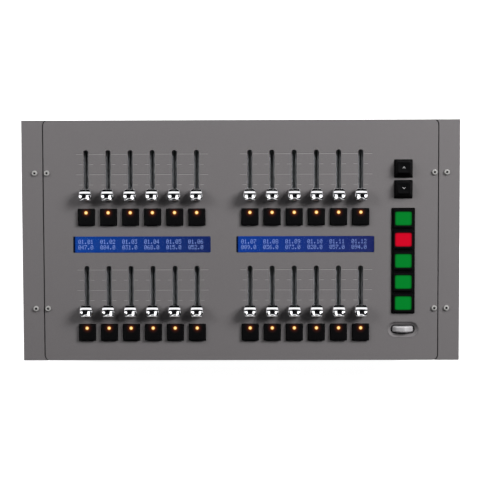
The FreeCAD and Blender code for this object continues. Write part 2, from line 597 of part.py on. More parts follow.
def display_module(x):
    """Circuit board, metal can with a view cut in it, and the glass behind the view."""
    low = DISPLAY_BOARD_TOP
    board_width = DISPLAY_WIDTH + 2 * DISPLAY_BOARD_LAP
    board = board_plate(x, DISPLAY_Y, board_width, DISPLAY_BOARD_LENGTH, low, display_pillars(x))
    can_width, can_length = DISPLAY_WIDTH + 2 * WINDOW_LAP, DISPLAY_LENGTH + 2 * WINDOW_LAP
    can = block(x, DISPLAY_Y, can_width, can_length, low, DISPLAY_CAN_TOP)
    room_width, room_length = DISPLAY_WIDTH + 2 * GLASS_LAP, DISPLAY_LENGTH + 2 * GLASS_LAP
    glass_top = DISPLAY_CAN_TOP - DISPLAY_CAN_WALL
    room = block(x, DISPLAY_Y, room_width, room_length, low - 1, glass_top)
    view = block(x, DISPLAY_Y, DISPLAY_WIDTH, DISPLAY_LENGTH, low, DISPLAY_CAN_TOP + 1)
    glass_width, glass_length = room_width - 2 * FIT_CLEARANCE, room_length - 2 * FIT_CLEARANCE
    glass = block(x, DISPLAY_Y, glass_width, glass_length, low, glass_top)
    return [board, can.cut([room, view]), glass]


# ---------------------------------------------------------------- thumbwheel
def wheel_bar(radius, start_y, end_y):
    """A round bar along Y on the wheel's axis."""
    start = Vector(MASTER_X, start_y, WHEEL_AXIS_Z)
    return Part.makeCylinder(radius, end_y - start_y, start, REARWARD)


def thumb_wheel():
    """A wheel with a rounded rim, and the shaft that turns with it."""
    half = WHEEL_WIDTH / 2
    wheel = wheel_bar(WHEEL_RADIUS, WHEEL_Y - half, WHEEL_Y + half)
    rims = [edge for edge in wheel.Edges if edge.Curve.TypeId == "Part::GeomCircle"]
    wheel = wheel.makeFillet(WHEEL_CROWN, rims)
    shaft = wheel_bar(WHEEL_SHAFT_RADIUS, WHEEL_Y - CHEEK_OUTER, WHEEL_Y + CHEEK_OUTER + ENCODER_THICK / 2)
    return [wheel.fuse(shaft).removeSplitter()]


def bracket_screws():
    """(x, y) of the two screws in the bracket's foot."""
    reach = (WHEEL_HOLE_LENGTH + BRACKET_END) / 2
    return [(MASTER_X - reach, WHEEL_Y), (MASTER_X + reach, WHEEL_Y)]


def wheel_bracket():
    """A foot round the wheel's cut-out with a cheek at each end of the shaft."""
    foot_top = BOARD_TOP + CHEEK_THICK
    cheek_top = WHEEL_AXIS_Z + WHEEL_SHAFT_RADIUS + CHEEK_OVER_SHAFT
    length = 2 * CHEEK_OUTER
    bracket = block(MASTER_X, WHEEL_Y, WHEEL_HOLE_LENGTH + 2 * BRACKET_END, length, BOARD_TOP, foot_top)
    bracket = bracket.fuse(block(MASTER_X, WHEEL_Y, CHEEK_WIDTH, length, BOARD_TOP, cheek_top))
    room = block(MASTER_X, WHEEL_Y, WHEEL_HOLE_LENGTH, 2 * CHEEK_INNER, BOARD_TOP - 1, cheek_top + 1)
    bearing = wheel_bar(WHEEL_SHAFT_RADIUS + SHAFT_CLEARANCE, WHEEL_Y - length, WHEEL_Y + length)
    holes = [screw_hole(x, y) for x, y in bracket_screws()]
    return [bracket.cut([room, bearing] + holes).removeSplitter()]


def wheel_encoder():
    """The encoder against the rear cheek, round the end of the shaft."""
    y = WHEEL_Y + CHEEK_OUTER + ENCODER_THICK / 2
    body = block(MASTER_X, y, ENCODER_SIZE, ENCODER_THICK, BOARD_TOP, WHEEL_AXIS_Z + ENCODER_SIZE / 2)
    bore = wheel_bar(WHEEL_SHAFT_RADIUS + SHAFT_CLEARANCE, WHEEL_Y, y + SLIDE_CLEARANCE)
    return [body.cut(bore)]


def wheel_surround():
    """An oval dish let into the panel, with a slot for the wheel and a flange under the panel."""
    x, y = MASTER_X, WHEEL_Y
    shell = oblong(x, y, SURROUND_LENGTH, SURROUND_WIDTH, SURROUND_LOW, PANEL_TOP)
    flange_length, flange_width = SURROUND_LENGTH + 2 * SURROUND_FLANGE, SURROUND_WIDTH + 2 * SURROUND_FLANGE
    flange = oblong(x, y, flange_length, flange_width, SURROUND_LOW, PANEL_UNDER)
    rim_length, rim_width = SURROUND_LENGTH - 2 * SURROUND_WALL, SURROUND_WIDTH - 2 * SURROUND_WALL
    floor_length, floor_width = rim_length - 2 * SURROUND_WALL, rim_width - 2 * SURROUND_WALL
    dish_corner = floor_width / 2 - ROUND_END_TRIM
    dish_low = PANEL_TOP - SURROUND_DISH
    rim, floor = (x, y, rim_length, rim_width), (x, y, floor_length, floor_width)
    dish = tapered_block(floor, dish_low, rim, PANEL_TOP, dish_corner)
    slot_low = SURROUND_LOW - 1
    slot = oblong(x, y, WHEEL_SLOT_LENGTH, WHEEL_SLOT_WIDTH, slot_low, PANEL_TOP)
    return [shell.fuse(flange).removeSplitter().cut([dish, slot])]


# ---------------------------------------------------------------- boards
def corners(left, right, front, rear):
    """(x, y) of a rectangle's corners."""
    return [(x, y) for x in (left, right) for y in (front, rear)]


def screw_hole(x, y):
    """A hole for a board screw, as deep as the whole case."""
    return rod(x, y, BOARD_SCREW_RADIUS + FIT_CLEARANCE, 0, PANEL_UNDER)


def board_plate(x, y, width, length, top, screws):
    """A circuit board with its screw holes."""
    board = block(x, y, width, length, top - BOARD_THICK, top)
    return board.cut([screw_hole(hole_x, hole_y) for hole_x, hole_y in screws])


def control_board_edges(slot_y, key_y):
    """Front and rear edge of the board under one row of faders and its flash keys."""
    return key_y - BOARD_KEY_LAP, slot_y + FADER_BODY_LENGTH / 2 + BOARD_FADER_LAP


def control_board_pillars(slot_y, key_y):
    """(x, y) of six pillars: the board's corners and the gap between its groups."""
    front, rear = control_board_edges(slot_y, key_y)
    reach = CONTROL_BOARD_WIDTH / 2 - PILLAR_INSET
    columns = (CONTROL_BOARD_X - reach, CONTROL_BOARD_X, CONTROL_BOARD_X + reach)
    return [(x, y) for x in columns for y in (front + PILLAR_INSET, rear - PILLAR_INSET)]


def ribbon_places():
    """(x, y) of the ribbon to each control board and to the master board."""
    _, upper_slot, upper_key = ROWS[0]
    _, lower_slot, lower_key = ROWS[1]
    upper_front, _ = control_board_edges(upper_slot, upper_key)
    _, lower_rear = control_board_edges(lower_slot, lower_key)
    x = CONTROL_BOARD_X + HEADER_WIDTH
    return [
        (x, upper_front + HEADER_INSET),
        (x, lower_rear - HEADER_INSET),
        (MASTER_X - MASTER_HEADER_OFFSET, HOUSING_Y),
    ]


def header_under(place):
    """The connector that hangs under a panel board."""
    return block(*place, HEADER_WIDTH, HEADER_LENGTH, BOARD_UNDER - HEADER_HEIGHT, BOARD_UNDER)


def control_boards():
    """One board for each row of faders, with its ribbon connector underneath."""
    pieces = []
    for index, (_, slot_y, key_y) in enumerate(ROWS):
        front, rear = control_board_edges(slot_y, key_y)
        holes = control_board_pillars(slot_y, key_y)
        middle, length = (front + rear) / 2, rear - front
        pieces.append(board_plate(CONTROL_BOARD_X, middle, CONTROL_BOARD_WIDTH, length, BOARD_TOP, holes))
        pieces.append(header_under(ribbon_places()[index]))
    return pieces


def master_board_pillars():
    reach = MASTER_BOARD_WIDTH / 2 - PILLAR_INSET
    front, rear = MASTER_BOARD_FRONT + PILLAR_INSET, MASTER_BOARD_REAR - PILLAR_INSET
    return corners(MASTER_X - reach, MASTER_X + reach, front, rear)


def master_board():
    """The board under the master column, cut out round the wheel."""
    length = MASTER_BOARD_REAR - MASTER_BOARD_FRONT
    middle = (MASTER_BOARD_REAR + MASTER_BOARD_FRONT) / 2
    holes = master_board_pillars() + bracket_screws()
    board = board_plate(MASTER_X, middle, MASTER_BOARD_WIDTH, length, BOARD_TOP, holes)
    wheel_hole = block(MASTER_X, WHEEL_Y, WHEEL_HOLE_LENGTH, 2 * CHEEK_INNER, BOARD_UNDER - 1, BOARD_TOP + 1)
    return [board.cut(wheel_hole), header_under(ribbon_places()[-1])]


def main_board_pillars():
    reach_x, reach_y = MAIN_BOARD_WIDTH / 2 - PILLAR_INSET, MAIN_BOARD_LENGTH / 2 - PILLAR_INSET
    left, right = MAIN_BOARD_X - reach_x, MAIN_BOARD_X + reach_x
    return corners(left, right, MAIN_BOARD_Y - reach_y, MAIN_BOARD_Y + reach_y)


def main_board():
    """The processor board above the tray's floor, with its connectors and chips."""
    width, length, top = MAIN_BOARD_WIDTH, MAIN_BOARD_LENGTH, MAIN_BOARD_TOP
    pieces = [board_plate(MAIN_BOARD_X, MAIN_BOARD_Y, width, length, top, main_board_pillars())]
    for place in ribbon_places():
        pieces.append(block(*place, HEADER_WIDTH, HEADER_LENGTH, top, top + HEADER_HEIGHT))
    row_y = MAIN_BOARD_Y - CHIP_ROW_DROP
    for index in range(CHIPS):
        x = MAIN_BOARD_X + (index - (CHIPS - 1) / 2) * CHIP_SPACING
        pieces.append(block(x, row_y, CHIP_SIZE, CHIP_SIZE, top, top + CHIP_HEIGHT))
    return pieces


def ribbon_cables():
    """Flat cables between the main board's connectors and those of the panel boards."""
    low, high = MAIN_BOARD_TOP + HEADER_HEIGHT, BOARD_UNDER - HEADER_HEIGHT
    return [block(x, y, RIBBON_WIDTH, RIBBON_THICK, low, high) for x, y in ribbon_places()]


# ---------------------------------------------------------------- fixings and feet
def hanging_pillars():
    """(x, y, top of the board) for every pillar that hangs a board under the panel."""
    places = [(x, y, DISPLAY_BOARD_TOP) for group_x in GROUPS_X for x, y in display_pillars(group_x)]
    for _, slot_y, key_y in ROWS:
        places += [(x, y, BOARD_TOP) for x, y in control_board_pillars(slot_y, key_y)]
    return places + [(x, y, BOARD_TOP) for x, y in master_board_pillars()]


def board_pillars():
    """Pillars with a blind hole for the screw that holds the board."""
    hole_radius = BOARD_SCREW_RADIUS + FIT_CLEARANCE
    pieces = []
    for x, y, top in hanging_pillars():
        pillar = rod(x, y, PILLAR_RADIUS, top, PANEL_UNDER)
        pieces.append(pillar.cut(rod(x, y, hole_radius, top - 1, top + BOARD_SCREW_LENGTH)))
    for x, y in main_board_pillars():
        pillar = rod(x, y, PILLAR_RADIUS, TRAY_FLOOR, MAIN_BOARD_UNDER)
        hole_low = MAIN_BOARD_UNDER - BOARD_SCREW_LENGTH
        pieces.append(pillar.cut(rod(x, y, hole_radius, hole_low, MAIN_BOARD_UNDER + 1)))
    return pieces


def board_screw(x, y, seat, points_up, grip):
    """A pan head screw against a seat, its shank reaching through the grip into what it holds."""
    sign = 1 if points_up else -1
    reach = sign * (grip + BOARD_SCREW_LENGTH - FIT_CLEARANCE)
    head = -sign * BOARD_SCREW_HEAD_HEIGHT
    shank = rod(x, y, BOARD_SCREW_RADIUS, min(seat, seat + reach), max(seat, seat + reach))
    return shank.fuse(rod(x, y, BOARD_SCREW_HEAD_RADIUS, min(seat, seat + head), max(seat, seat + head)))


def board_screws():
    pieces = [board_screw(x, y, top - BOARD_THICK, True, BOARD_THICK) for x, y, top in hanging_pillars()]
    pieces += [board_screw(x, y, MAIN_BOARD_TOP, False, BOARD_THICK) for x, y in main_board_pillars()]
    pieces += [board_screw(x, y, BOARD_TOP + CHEEK_THICK, False, CHEEK_THICK) for x, y in bracket_screws()]
    return pieces


def hex_socket(x, y, top):
    """A six-sided prism down from a screw head's top."""
    radius = SCREW_SOCKET_ACROSS / math.sqrt(3)
    points = [
        Vector(x + radius * math.cos(math.radians(angle)), y + radius * math.sin(math.radians(angle)), top)
        for angle in range(0, 361, 60)
    ]
    return Part.Face(Part.makePolygon(points)).extrude(Vector(0, 0, -SCREW_SOCKET_DEPTH))


def cover_screws():
    """Button head screws that hold the panel and the ears to the tray's flanges."""
    pieces = []
    top = PANEL_TOP + SCREW_HEAD_HEIGHT
    flange_under = PANEL_UNDER - TRAY_THICK
    for x, y in panel_screw_places() + ear_screw_places():
        head = rod(x, y, SCREW_HEAD_RADIUS, PANEL_TOP, top)
        rim = [edge for edge in head.Edges if edge.BoundBox.ZMin > top - 1e-3]
        head = head.makeFillet(SCREW_HEAD_ROUND, rim)
        shank = rod(x, y, SCREW_RADIUS, flange_under, PANEL_TOP)
        free_end = rod(x, y, SCREW_RADIUS - SCREW_THREAD_DEPTH, PANEL_TOP - SCREW_LENGTH, flange_under)
        pieces.append(head.fuse([shank, free_end]).removeSplitter().cut(hex_socket(x, y, top)))
    return pieces


def rubber_feet():
    x, y = TRAY_SIDE - FOOT_INSET, TRAY_END - FOOT_INSET
    places = corners(-x, x, -y, y)
    return [Part.makeCone(FOOT_TIP_RADIUS, FOOT_RADIUS, FOOT_HEIGHT, Vector(*place, 0)) for place in places]


# ---------------------------------------------------------------- supply and sockets
def power_supply():
    """A closed metal box on the tray's floor, in front of the inlet."""
    y = TRAY_END - TRAY_THICK - SUPPLY_BEHIND - SUPPLY_LENGTH / 2
    return [block(INLET_X, y, SUPPLY_WIDTH, SUPPLY_LENGTH, TRAY_FLOOR, TRAY_FLOOR + SUPPLY_HEIGHT)]


def rear_socket(x, width, height, depth):
    """A socket's body through the rear wall, with a flange against the wall's outer face."""
    body = block(x, TRAY_END - depth / 2, width, depth, SOCKET_Z - height / 2, SOCKET_Z + height / 2)
    flange_z = height / 2 + SOCKET_FLANGE
    flange_y = TRAY_END + SOCKET_FLANGE_THICK / 2
    flange_width = width + 2 * SOCKET_FLANGE
    flange = block(x, flange_y, flange_width, SOCKET_FLANGE_THICK, SOCKET_Z - flange_z, SOCKET_Z + flange_z)
    return body.fuse(flange).removeSplitter()


def rear_cavity(x, width, height, depth):
    """The room in a rear socket that its plug goes into."""
    length = depth + 1
    y = TRAY_END + SOCKET_FLANGE_THICK + 1 - length / 2
    return block(x, y, width, length, SOCKET_Z - height / 2, SOCKET_Z + height / 2)


def mains_inlet():
    """A recessed three pin inlet."""
    body = rear_socket(INLET_X, INLET_WIDTH, INLET_HEIGHT, INLET_DEPTH)
    body = body.cut(rear_cavity(INLET_X, INLET_CAVITY_WIDTH, INLET_CAVITY_HEIGHT, INLET_CAVITY_DEPTH))
    back = TRAY_END + SOCKET_FLANGE_THICK - INLET_CAVITY_DEPTH
    for index in range(INLET_PINS):
        offset = index - (INLET_PINS - 1) / 2
        z = SOCKET_Z + (INLET_PIN_SETBACK if offset else -INLET_PIN_SETBACK)
        low, high = z - INLET_PIN_HEIGHT / 2, z + INLET_PIN_HEIGHT / 2
        x = INLET_X + offset * INLET_PIN_SPACING
        body = body.fuse(block(x, back + INLET_PIN_LENGTH / 2, INLET_PIN_WIDTH, INLET_PIN_LENGTH, low, high))
    return [body.removeSplitter()]


def data_sockets():
    pieces = []
    for x in DATA_X:
        body = rear_socket(x, DATA_WIDTH, DATA_HEIGHT, DATA_DEPTH)
        pieces.append(body.cut(rear_cavity(x, DATA_CAVITY_WIDTH, DATA_CAVITY_HEIGHT, DATA_CAVITY_DEPTH)))
    return pieces


# ---------------------------------------------------------------- the whole desk
def nodes():
    """Every named node with its solids."""
    desk = {
        "top_panel": top_panel(),
        "ear_left": ear(-1),
        "ear_right": ear(1),
        "base_tray": base_tray(),
        "cover_screws": cover_screws(),
        "rubber_feet": rubber_feet(),
        "display_windows": display_windows(),
        "display_module_left": display_module(LEFT_GROUP_X),
        "display_module_right": display_module(RIGHT_GROUP_X),
        "fader_bodies": [fader_body(x, y) for x, y in all_faders()],
        "key_switches": key_switches(),
        "screen_key_housing": screen_key_housing(),
        "arrow_key_up": arrow_key(UP_KEY_Y),
        "arrow_key_down": arrow_key(DOWN_KEY_Y),
        "thumb_wheel": thumb_wheel(),
        "wheel_bracket": wheel_bracket(),
        "wheel_encoder": wheel_encoder(),
        "wheel_surround": wheel_surround(),
        "control_boards": control_boards(),
        "master_board": master_board(),
        "main_board": main_board(),
        "ribbon_cables": ribbon_cables(),
        "board_pillars": board_pillars(),
        "board_screws": board_screws(),
        "power_supply": power_supply(),
        "mains_inlet": mains_inlet(),
        "data_sockets": data_sockets(),
    }
    for index, (x, slot_y) in enumerate(all_faders()):
        desk[f"fader_{index + 1:02d}"] = fader(x, slot_y)
    for row, _, key_y in ROWS:
        for side, group_x in zip(("left", "right"), GROUPS_X):
            desk[f"flash_keys_{row}_{side}"] = flash_key_row(group_x, key_y)
    for index, y in enumerate(screen_key_places()):
        desk[f"screen_key_{index + 1}"] = screen_key(y)
    return desk


os.makedirs("parts", exist_ok=True)
for name, solids in nodes().items():
    Part.makeCompound(solids).exportStep(f"parts/{name}.step")
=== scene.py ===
# %% [markdown]
# # A lighting control desk
#
# The desk lies flat on a pale table top: a grey powder-coated panel with an ear on each side, faders with
# chrome knobs, black flash keys with amber lamps, two blue displays, a column of lit screen keys, two
# arrow keys and a silver thumbwheel. The engineer's model is loaded first. It gives the places of the
# controls, so a new piece asks the frame where it belongs. What it doesn't hold, such as the hollow of a
# knob or the pattern of a display, has its own values here, chosen to look right.

# %% Load the frame
import json
import math

import bpy
import numpy as np
from mathutils import Euler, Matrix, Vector


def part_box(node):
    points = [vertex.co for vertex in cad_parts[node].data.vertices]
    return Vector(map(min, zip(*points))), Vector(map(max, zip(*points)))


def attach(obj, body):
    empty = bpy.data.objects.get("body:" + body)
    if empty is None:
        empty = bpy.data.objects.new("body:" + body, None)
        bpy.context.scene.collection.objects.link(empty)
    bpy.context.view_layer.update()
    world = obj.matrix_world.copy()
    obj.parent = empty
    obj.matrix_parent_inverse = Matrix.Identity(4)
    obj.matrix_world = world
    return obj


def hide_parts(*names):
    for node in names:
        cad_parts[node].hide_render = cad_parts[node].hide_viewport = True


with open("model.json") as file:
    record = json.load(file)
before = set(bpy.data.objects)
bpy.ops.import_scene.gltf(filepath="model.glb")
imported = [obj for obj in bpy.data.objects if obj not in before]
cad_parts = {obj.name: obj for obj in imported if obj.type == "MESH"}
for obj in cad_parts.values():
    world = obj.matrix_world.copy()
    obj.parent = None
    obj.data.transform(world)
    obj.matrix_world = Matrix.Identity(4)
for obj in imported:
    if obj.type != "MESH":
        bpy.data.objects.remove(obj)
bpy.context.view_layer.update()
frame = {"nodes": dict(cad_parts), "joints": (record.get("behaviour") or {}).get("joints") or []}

scene = bpy.context.scene
nodes = frame["nodes"]
MM = 0.001
TIGHTEST_CORNER = 0.05
FADERS_PER_GROUP = 6

# %% [markdown]
# ## Tools for shapes
#
# Almost every control on a desk is a rounded rectangle that changes as it rises: a key, a lens, a frame.
# A box with a Bevel modifier would do for a plain one, but a keycap with a set-back top or a pressed dish
# is easier as rings: one outline, repeated at every step of a profile. The rings form a grid of points,
# and one helper turns any grid into a closed mesh.


# %% A grid of points becomes a closed mesh
def grid_faces(rows, columns, wrap_rows):
    """Quads between neighbouring rows. Each row is a closed loop, and the rows may close as well."""
    row = np.arange(rows if wrap_rows else rows - 1)[:, None]
    column = np.arange(columns)[None, :]
    next_row = (row + 1) % rows
    next_column = (column + 1) % columns
    here, right = row * columns + column, row * columns + next_column
    above, above_right = next_row * columns + column, next_row * columns + next_column
    return np.stack([here, right, above_right, above], axis=-1).reshape(-1, 4)


def add_piece(name, grids, wrap_rows=False, smooth=True, uv=None):
    """One object from several grids of shape (rows, columns, 3), in metres; open ends get a flat cap."""
    points, faces = [], []
    start = 0
    for grid in grids:
        rows, columns = grid.shape[:2]
        faces += (grid_faces(rows, columns, wrap_rows) + start).tolist()
        if not wrap_rows:
            faces.append(list(range(start + columns - 1, start - 1, -1)))
            faces.append(list(range(start + (rows - 1) * columns, start + rows * columns)))
        points.append(grid.reshape(-1, 3))
        start += rows * columns
    points = np.concatenate(points)
    mesh = bpy.data.meshes.new(name)
    mesh.from_pydata(points.tolist(), [], faces)
    mesh.polygons.foreach_set("use_smooth", np.full(len(mesh.polygons), smooth))
    if uv is not None:
        corners = np.empty(len(mesh.loops), dtype=np.int32)
        mesh.loops.foreach_get("vertex_index", corners)
        layer = mesh.uv_layers.new(name="place")
        layer.data.foreach_set("uv", np.concatenate([part.reshape(-1, 2) for part in uv])[corners].ravel())
    mesh.update()
    piece = bpy.data.objects.new(name, mesh)
    scene.collection.objects.link(piece)
    return piece


def rounded_rectangle(width, length, corner, per_corner=6):
    """Points round a rectangle: four quarter circles, anticlockwise, joined by straight runs."""
    turn = np.linspace(0, math.pi / 2, per_corner)
    angle = (np.arange(4)[:, None] * math.pi / 2 + turn[None, :]).ravel()
    side_x = np.repeat([1, -1, -1, 1], per_corner)
    side_y = np.repeat([1, 1, -1, -1], per_corner)
    x = side_x * (width / 2 - corner) + corner * np.cos(angle)
    y = side_y * (length / 2 - corner) + corner * np.sin(angle)
    return np.stack([x, y], axis=-1)


def rings(centre, width, length, corner, profile, per_corner=6):
    """Rounded rectangles at every (inset, height) of a profile in millimetres, about a centre in metres."""
    loops = []
    for inset, height in profile:
        tight = max(corner - inset, TIGHTEST_CORNER)
        loop = rounded_rectangle(width - 2 * inset, length - 2 * inset, tight, per_corner)
        loops.append(np.column_stack([loop, np.full(len(loop), height)]))
    return np.array(loops) * MM + np.array(centre)


def round_over(inset, height, radius, steps=4):
    """A quarter circle from an upright wall to a flat top, as (inset, height) pairs."""
    angle = np.linspace(0, math.pi / 2, steps + 1)
    return [(inset + radius * (1 - math.cos(a)), height - radius * (1 - math.sin(a))) for a in angle]


def node_box(name):
    """Lowest and highest corner of a CAD node, in millimetres."""
    low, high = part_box(name)
    return np.array(low) / MM, np.array(high) / MM


panel_high = node_box("top_panel")[1]
PANEL_TOP = panel_high[2]
print("panel top at", round(PANEL_TOP, 2), "mm")

# %% [markdown]
# ## Tools for materials
#
# A colour is picked as the eye sees it, as an sRGB hex value, and the shader wants linear light, so one
# function converts. Another adds a node with its settings and links, which keeps each recipe short
# enough to read as a list of what the finish is made of.


# %% Colours and nodes
def linear(hex_colour):
    """sRGB hex to linear light with alpha 1: below 0.04045 divide by 12.92, above it the 2.4 power curve."""
    value = np.array([int(hex_colour[i : i + 2], 16) for i in (1, 3, 5)]) / 255
    light = np.where(value <= 0.04045, value / 12.92, ((value + 0.055) / 1.055) ** 2.4)
    return (*light.tolist(), 1.0)


def add(material, kind, links=(), stops=(), **settings):
    """A node of that kind. Settings are its properties or input values, links are (input, source socket),
    and stops are the (position, linear colour) pairs of a colour ramp."""
    node = material.node_tree.nodes.new(kind)
    for number, (position, colour) in enumerate(stops):
        elements = node.color_ramp.elements
        element = elements[number] if number < 2 else elements.new(position)
        element.position, element.color = position, colour
    for name, value in settings.items():
        if hasattr(node, name):
            setattr(node, name, value)
        else:
            node.inputs[name.replace("_", " ")].default_value = value
    for name, source in links:
        material.node_tree.links.new(source, node.inputs[name])
    return node


def new_material(name, **shader_values):
    """A material with its Principled shader's own sockets set."""
    material = bpy.data.materials.new(name)
    material.use_nodes = True
    shader = material.node_tree.nodes["Principled BSDF"]
    for socket, value in shader_values.items():
        shader.inputs[socket.replace("_", " ")].default_value = value
    return material, shader


def grain(material, shader, size_mm, depth_mm, dark, light, roughness):
    """Noise with features of a real size: it varies colour and roughness a little and drives the bump."""
    place = add(material, "ShaderNodeTexCoord").outputs["Object"]
    noise = add(material, "ShaderNodeTexNoise", [("Vector", place)], Scale=1 / (size_mm * MM), Detail=3.0)
    shades = [(0.3, linear(dark)), (0.7, linear(light))]
    colour = add(material, "ShaderNodeValToRGB", [("Fac", noise.outputs["Fac"])], shades)
    material.node_tree.links.new(colour.outputs["Color"], shader.inputs["Base Color"])
    low, high = roughness
    span = add(material, "ShaderNodeMapRange", [("Value", noise.outputs["Fac"])], To_Min=low, To_Max=high)
    material.node_tree.links.new(span.outputs["Result"], shader.inputs["Roughness"])
    bump = add(material, "ShaderNodeBump", [("Height", noise.outputs["Fac"])], Distance=depth_mm * MM)
    material.node_tree.links.new(bump.outputs["Normal"], shader.inputs["Normal"])


def dress(name, material):
    """Gives a CAD node its finish."""
    for material_slot in nodes[name].material_slots:
        material_slot.material = material


def finish(piece, material, body, slot_name, *replaced):
    """Gives a new piece its finish, the body that it moves with, and the CAD nodes that it stands for."""
    piece.data.materials.append(material)
    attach(piece, body)
    if replaced:
        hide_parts(*replaced)
    return piece


# %% [markdown]
# ## Sheet metal: the panel, its ears and the tray
#
# The panel and its ears are steel with a fine-textured powder coat. Its grit is about half a millimetre,
# drawn here at nearly twice that so that it shows. It breaks up the reflections and makes the grey look
# soft. The tray below is the same coat in black.
# Both keep their CAD shape: the CAD already rounds the edges.

# %% Powder coat
coat_grey, shader = new_material("powder_coat_warm_grey")
grain(coat_grey, shader, 0.9, 0.10, "#666364", "#706d6e", (0.50, 0.62))
for name in ("top_panel", "ear_left", "ear_right"):
    dress(name, coat_grey)

coat_black, shader = new_material("powder_coat_black")
grain(coat_black, shader, 0.9, 0.08, "#101011", "#171718", (0.45, 0.6))
dress("base_tray", coat_black)
print("painted the sheet metal")

# %% [markdown]
# ## Fader scales
#
# Each row of faders has long fine lines at full and at half, and short ticks between. Each shows as a dark
# line with a light lower edge, as an engraved one does: shade on the groove's rear wall and light on its
# front wall. The panel's own mesh stays as it is, so every line is two thin strips that lie side by side on
# the coat, one of painted shadow and one of painted highlight.

# %% Lines beside the faders
fader_names = sorted(name for name in nodes if name.startswith("fader_") and name != "fader_bodies")
fader_boxes = np.array([node_box(name) for name in fader_names])
fader_x = fader_boxes[:, :, 0].mean(axis=1)
fader_y = fader_boxes[:, :, 1].mean(axis=1)
travel = next(joint for joint in frame["joints"] if joint["name"] == "fader_01_slide")["range_m"][1] / MM
LINE_WIDTH = 0.6
LINE_HEIGHT = 0.03
LINE_OVERHANG = (10.9, 12.8)
TICK_HALF = 8.0
SLOT_CLEAR = 3.0
groups = (fader_x[:FADERS_PER_GROUP], fader_x[FADERS_PER_GROUP : 2 * FADERS_PER_GROUP])


def strip(left, right, y, width):
    """A flat bar of the line's height on the panel."""
    centre = ((left + right) / 2 * MM, y * MM, PANEL_TOP * MM)
    return rings(centre, right - left, width, 0.1, [(0, 0), (0, LINE_HEIGHT)], per_corner=2)


def scale_lines(offset):
    """Bars beside every slot: long ones bridge the gaps between faders, short ones are ticks."""
    bars = []
    for row in groups:
        for row_y in sorted(set(np.round(fader_y, 2))):
            edges = [row[0] - LINE_OVERHANG[0], *row, row[-1] + LINE_OVERHANG[1]]
            for share in (0.5, 1.0):
                y = row_y + share * travel + offset
                for index in range(len(edges) - 1):
                    left = edges[index] + (SLOT_CLEAR if index else 0)
                    right = edges[index + 1] - (SLOT_CLEAR if index < len(row) else 0)
                    bars.append(strip(left, right, y, LINE_WIDTH))
            for share in (0.25, 0.75):
                y = row_y + share * travel + offset
                for x in row:
                    bars.append(strip(x - TICK_HALF, x - SLOT_CLEAR, y, LINE_WIDTH))
                    bars.append(strip(x + SLOT_CLEAR, x + TICK_HALF, y, LINE_WIDTH))
    return bars


# Painted shadow stands for the groove's rear wall, and painted highlight for its lit front wall.
line_dark, shader = new_material("engraved_line_shadow")
grain(line_dark, shader, 0.9, 0.02, "#4c4a4b", "#565455", (0.5, 0.6))
line_painted_highlight, shader = new_material("engraved_line_painted_highlight")
grain(line_painted_highlight, shader, 0.9, 0.02, "#918e8e", "#9c9999", (0.45, 0.55))
for name, material, offset in (("dark", line_dark, LINE_WIDTH / 2), ("light", line_painted_highlight, -LINE_WIDTH / 2)):
    lines = add_piece("scale_lines_" + name, scale_lines(offset), smooth=False)
    finish(lines, material, "desk", "panel_paint")
print("fader travel", travel, "mm")

# %% [markdown]
# ## Fader knobs
#
# The knobs are chromed plastic, so their whole look is what they mirror. From the rear to the front: a steep
# end that mirrors the dark, a slope that mirrors the long card behind, a deep groove, a finger hollow that
# mirrors the cards at the sides with a dark waist between, and a low lip that catches the long card again.
# All of that is one height over a square of two parameters, through a short profile listed below.


# %% One knob as a height over a square
KNOB_PROFILE = np.array(
    # place along the half length (front -1, rear +1), then the depth below the top in mm: middle, sides
    [
        (-1.0, 4.2, 4.2), (-0.97, 2.9, 2.9), (-0.91, 2.0, 2.0), (-0.86, 1.75, 1.75), (-0.82, 1.75, 1.8),
        (-0.76, 1.98, 2.0), (-0.66, 2.45, 1.75), (-0.57, 2.8, 1.15), (-0.5, 2.95, 0.85), (-0.38, 3.12, 0.6),
        (-0.27, 3.22, 0.5), (-0.15, 3.28, 0.7), (-0.05, 3.3, 1.0), (0.0, 3.3, 1.2), (0.02, 3.8, 3.8),
        (0.21, 3.8, 3.8), (0.23, 0.05, 0.15), (0.28, 0.15, 0.3), (0.58, 1.05, 1.3), (0.64, 1.3, 1.65),
        (0.97, 2.85, 3.3), (1.0, 4.4, 4.6),
    ]
)  # fmt: skip
KNOB_OUTLINE = 3.4
KNOB_END_WIDTH = 0.03
KNOB_RIM_POWER = 40


def knob_grid(low, high, steps=41):
    """Rows front to rear. The outline is a superellipse: width is one less the place to a power, rooted by
    the same power. Across, the depth runs as a parabola from the middle's profile to the sides'. The height
    is then multiplied, both ways, by the cube root of one less a fortieth power: this makes upright walls."""
    half = (high - low) / 2
    middle = (high + low) / 2
    spread = np.sin(np.linspace(-math.pi / 2, math.pi / 2, steps))
    along = np.unique(np.concatenate([spread, KNOB_PROFILE[:, 0]]))
    across, place = np.meshgrid(spread, along)
    width = (1 - (1 - KNOB_END_WIDTH) * np.abs(place) ** KNOB_OUTLINE) ** (1 / KNOB_OUTLINE)
    middle_depth = np.interp(place, KNOB_PROFILE[:, 0], KNOB_PROFILE[:, 1])
    side_depth = np.interp(place, KNOB_PROFILE[:, 0], KNOB_PROFILE[:, 2])
    depth = middle_depth + (side_depth - middle_depth) * across**2
    across_edge = (1 - np.abs(across) ** KNOB_RIM_POWER) ** (1 / 3)
    edge = across_edge * (1 - np.abs(place) ** KNOB_RIM_POWER) ** (1 / 3)
    x = middle[0] + half[0] * width * across
    y = middle[1] + half[1] * place
    z = low[2] + (high[2] - low[2] - depth) * edge
    return np.stack([x, y, z], axis=-1) * MM


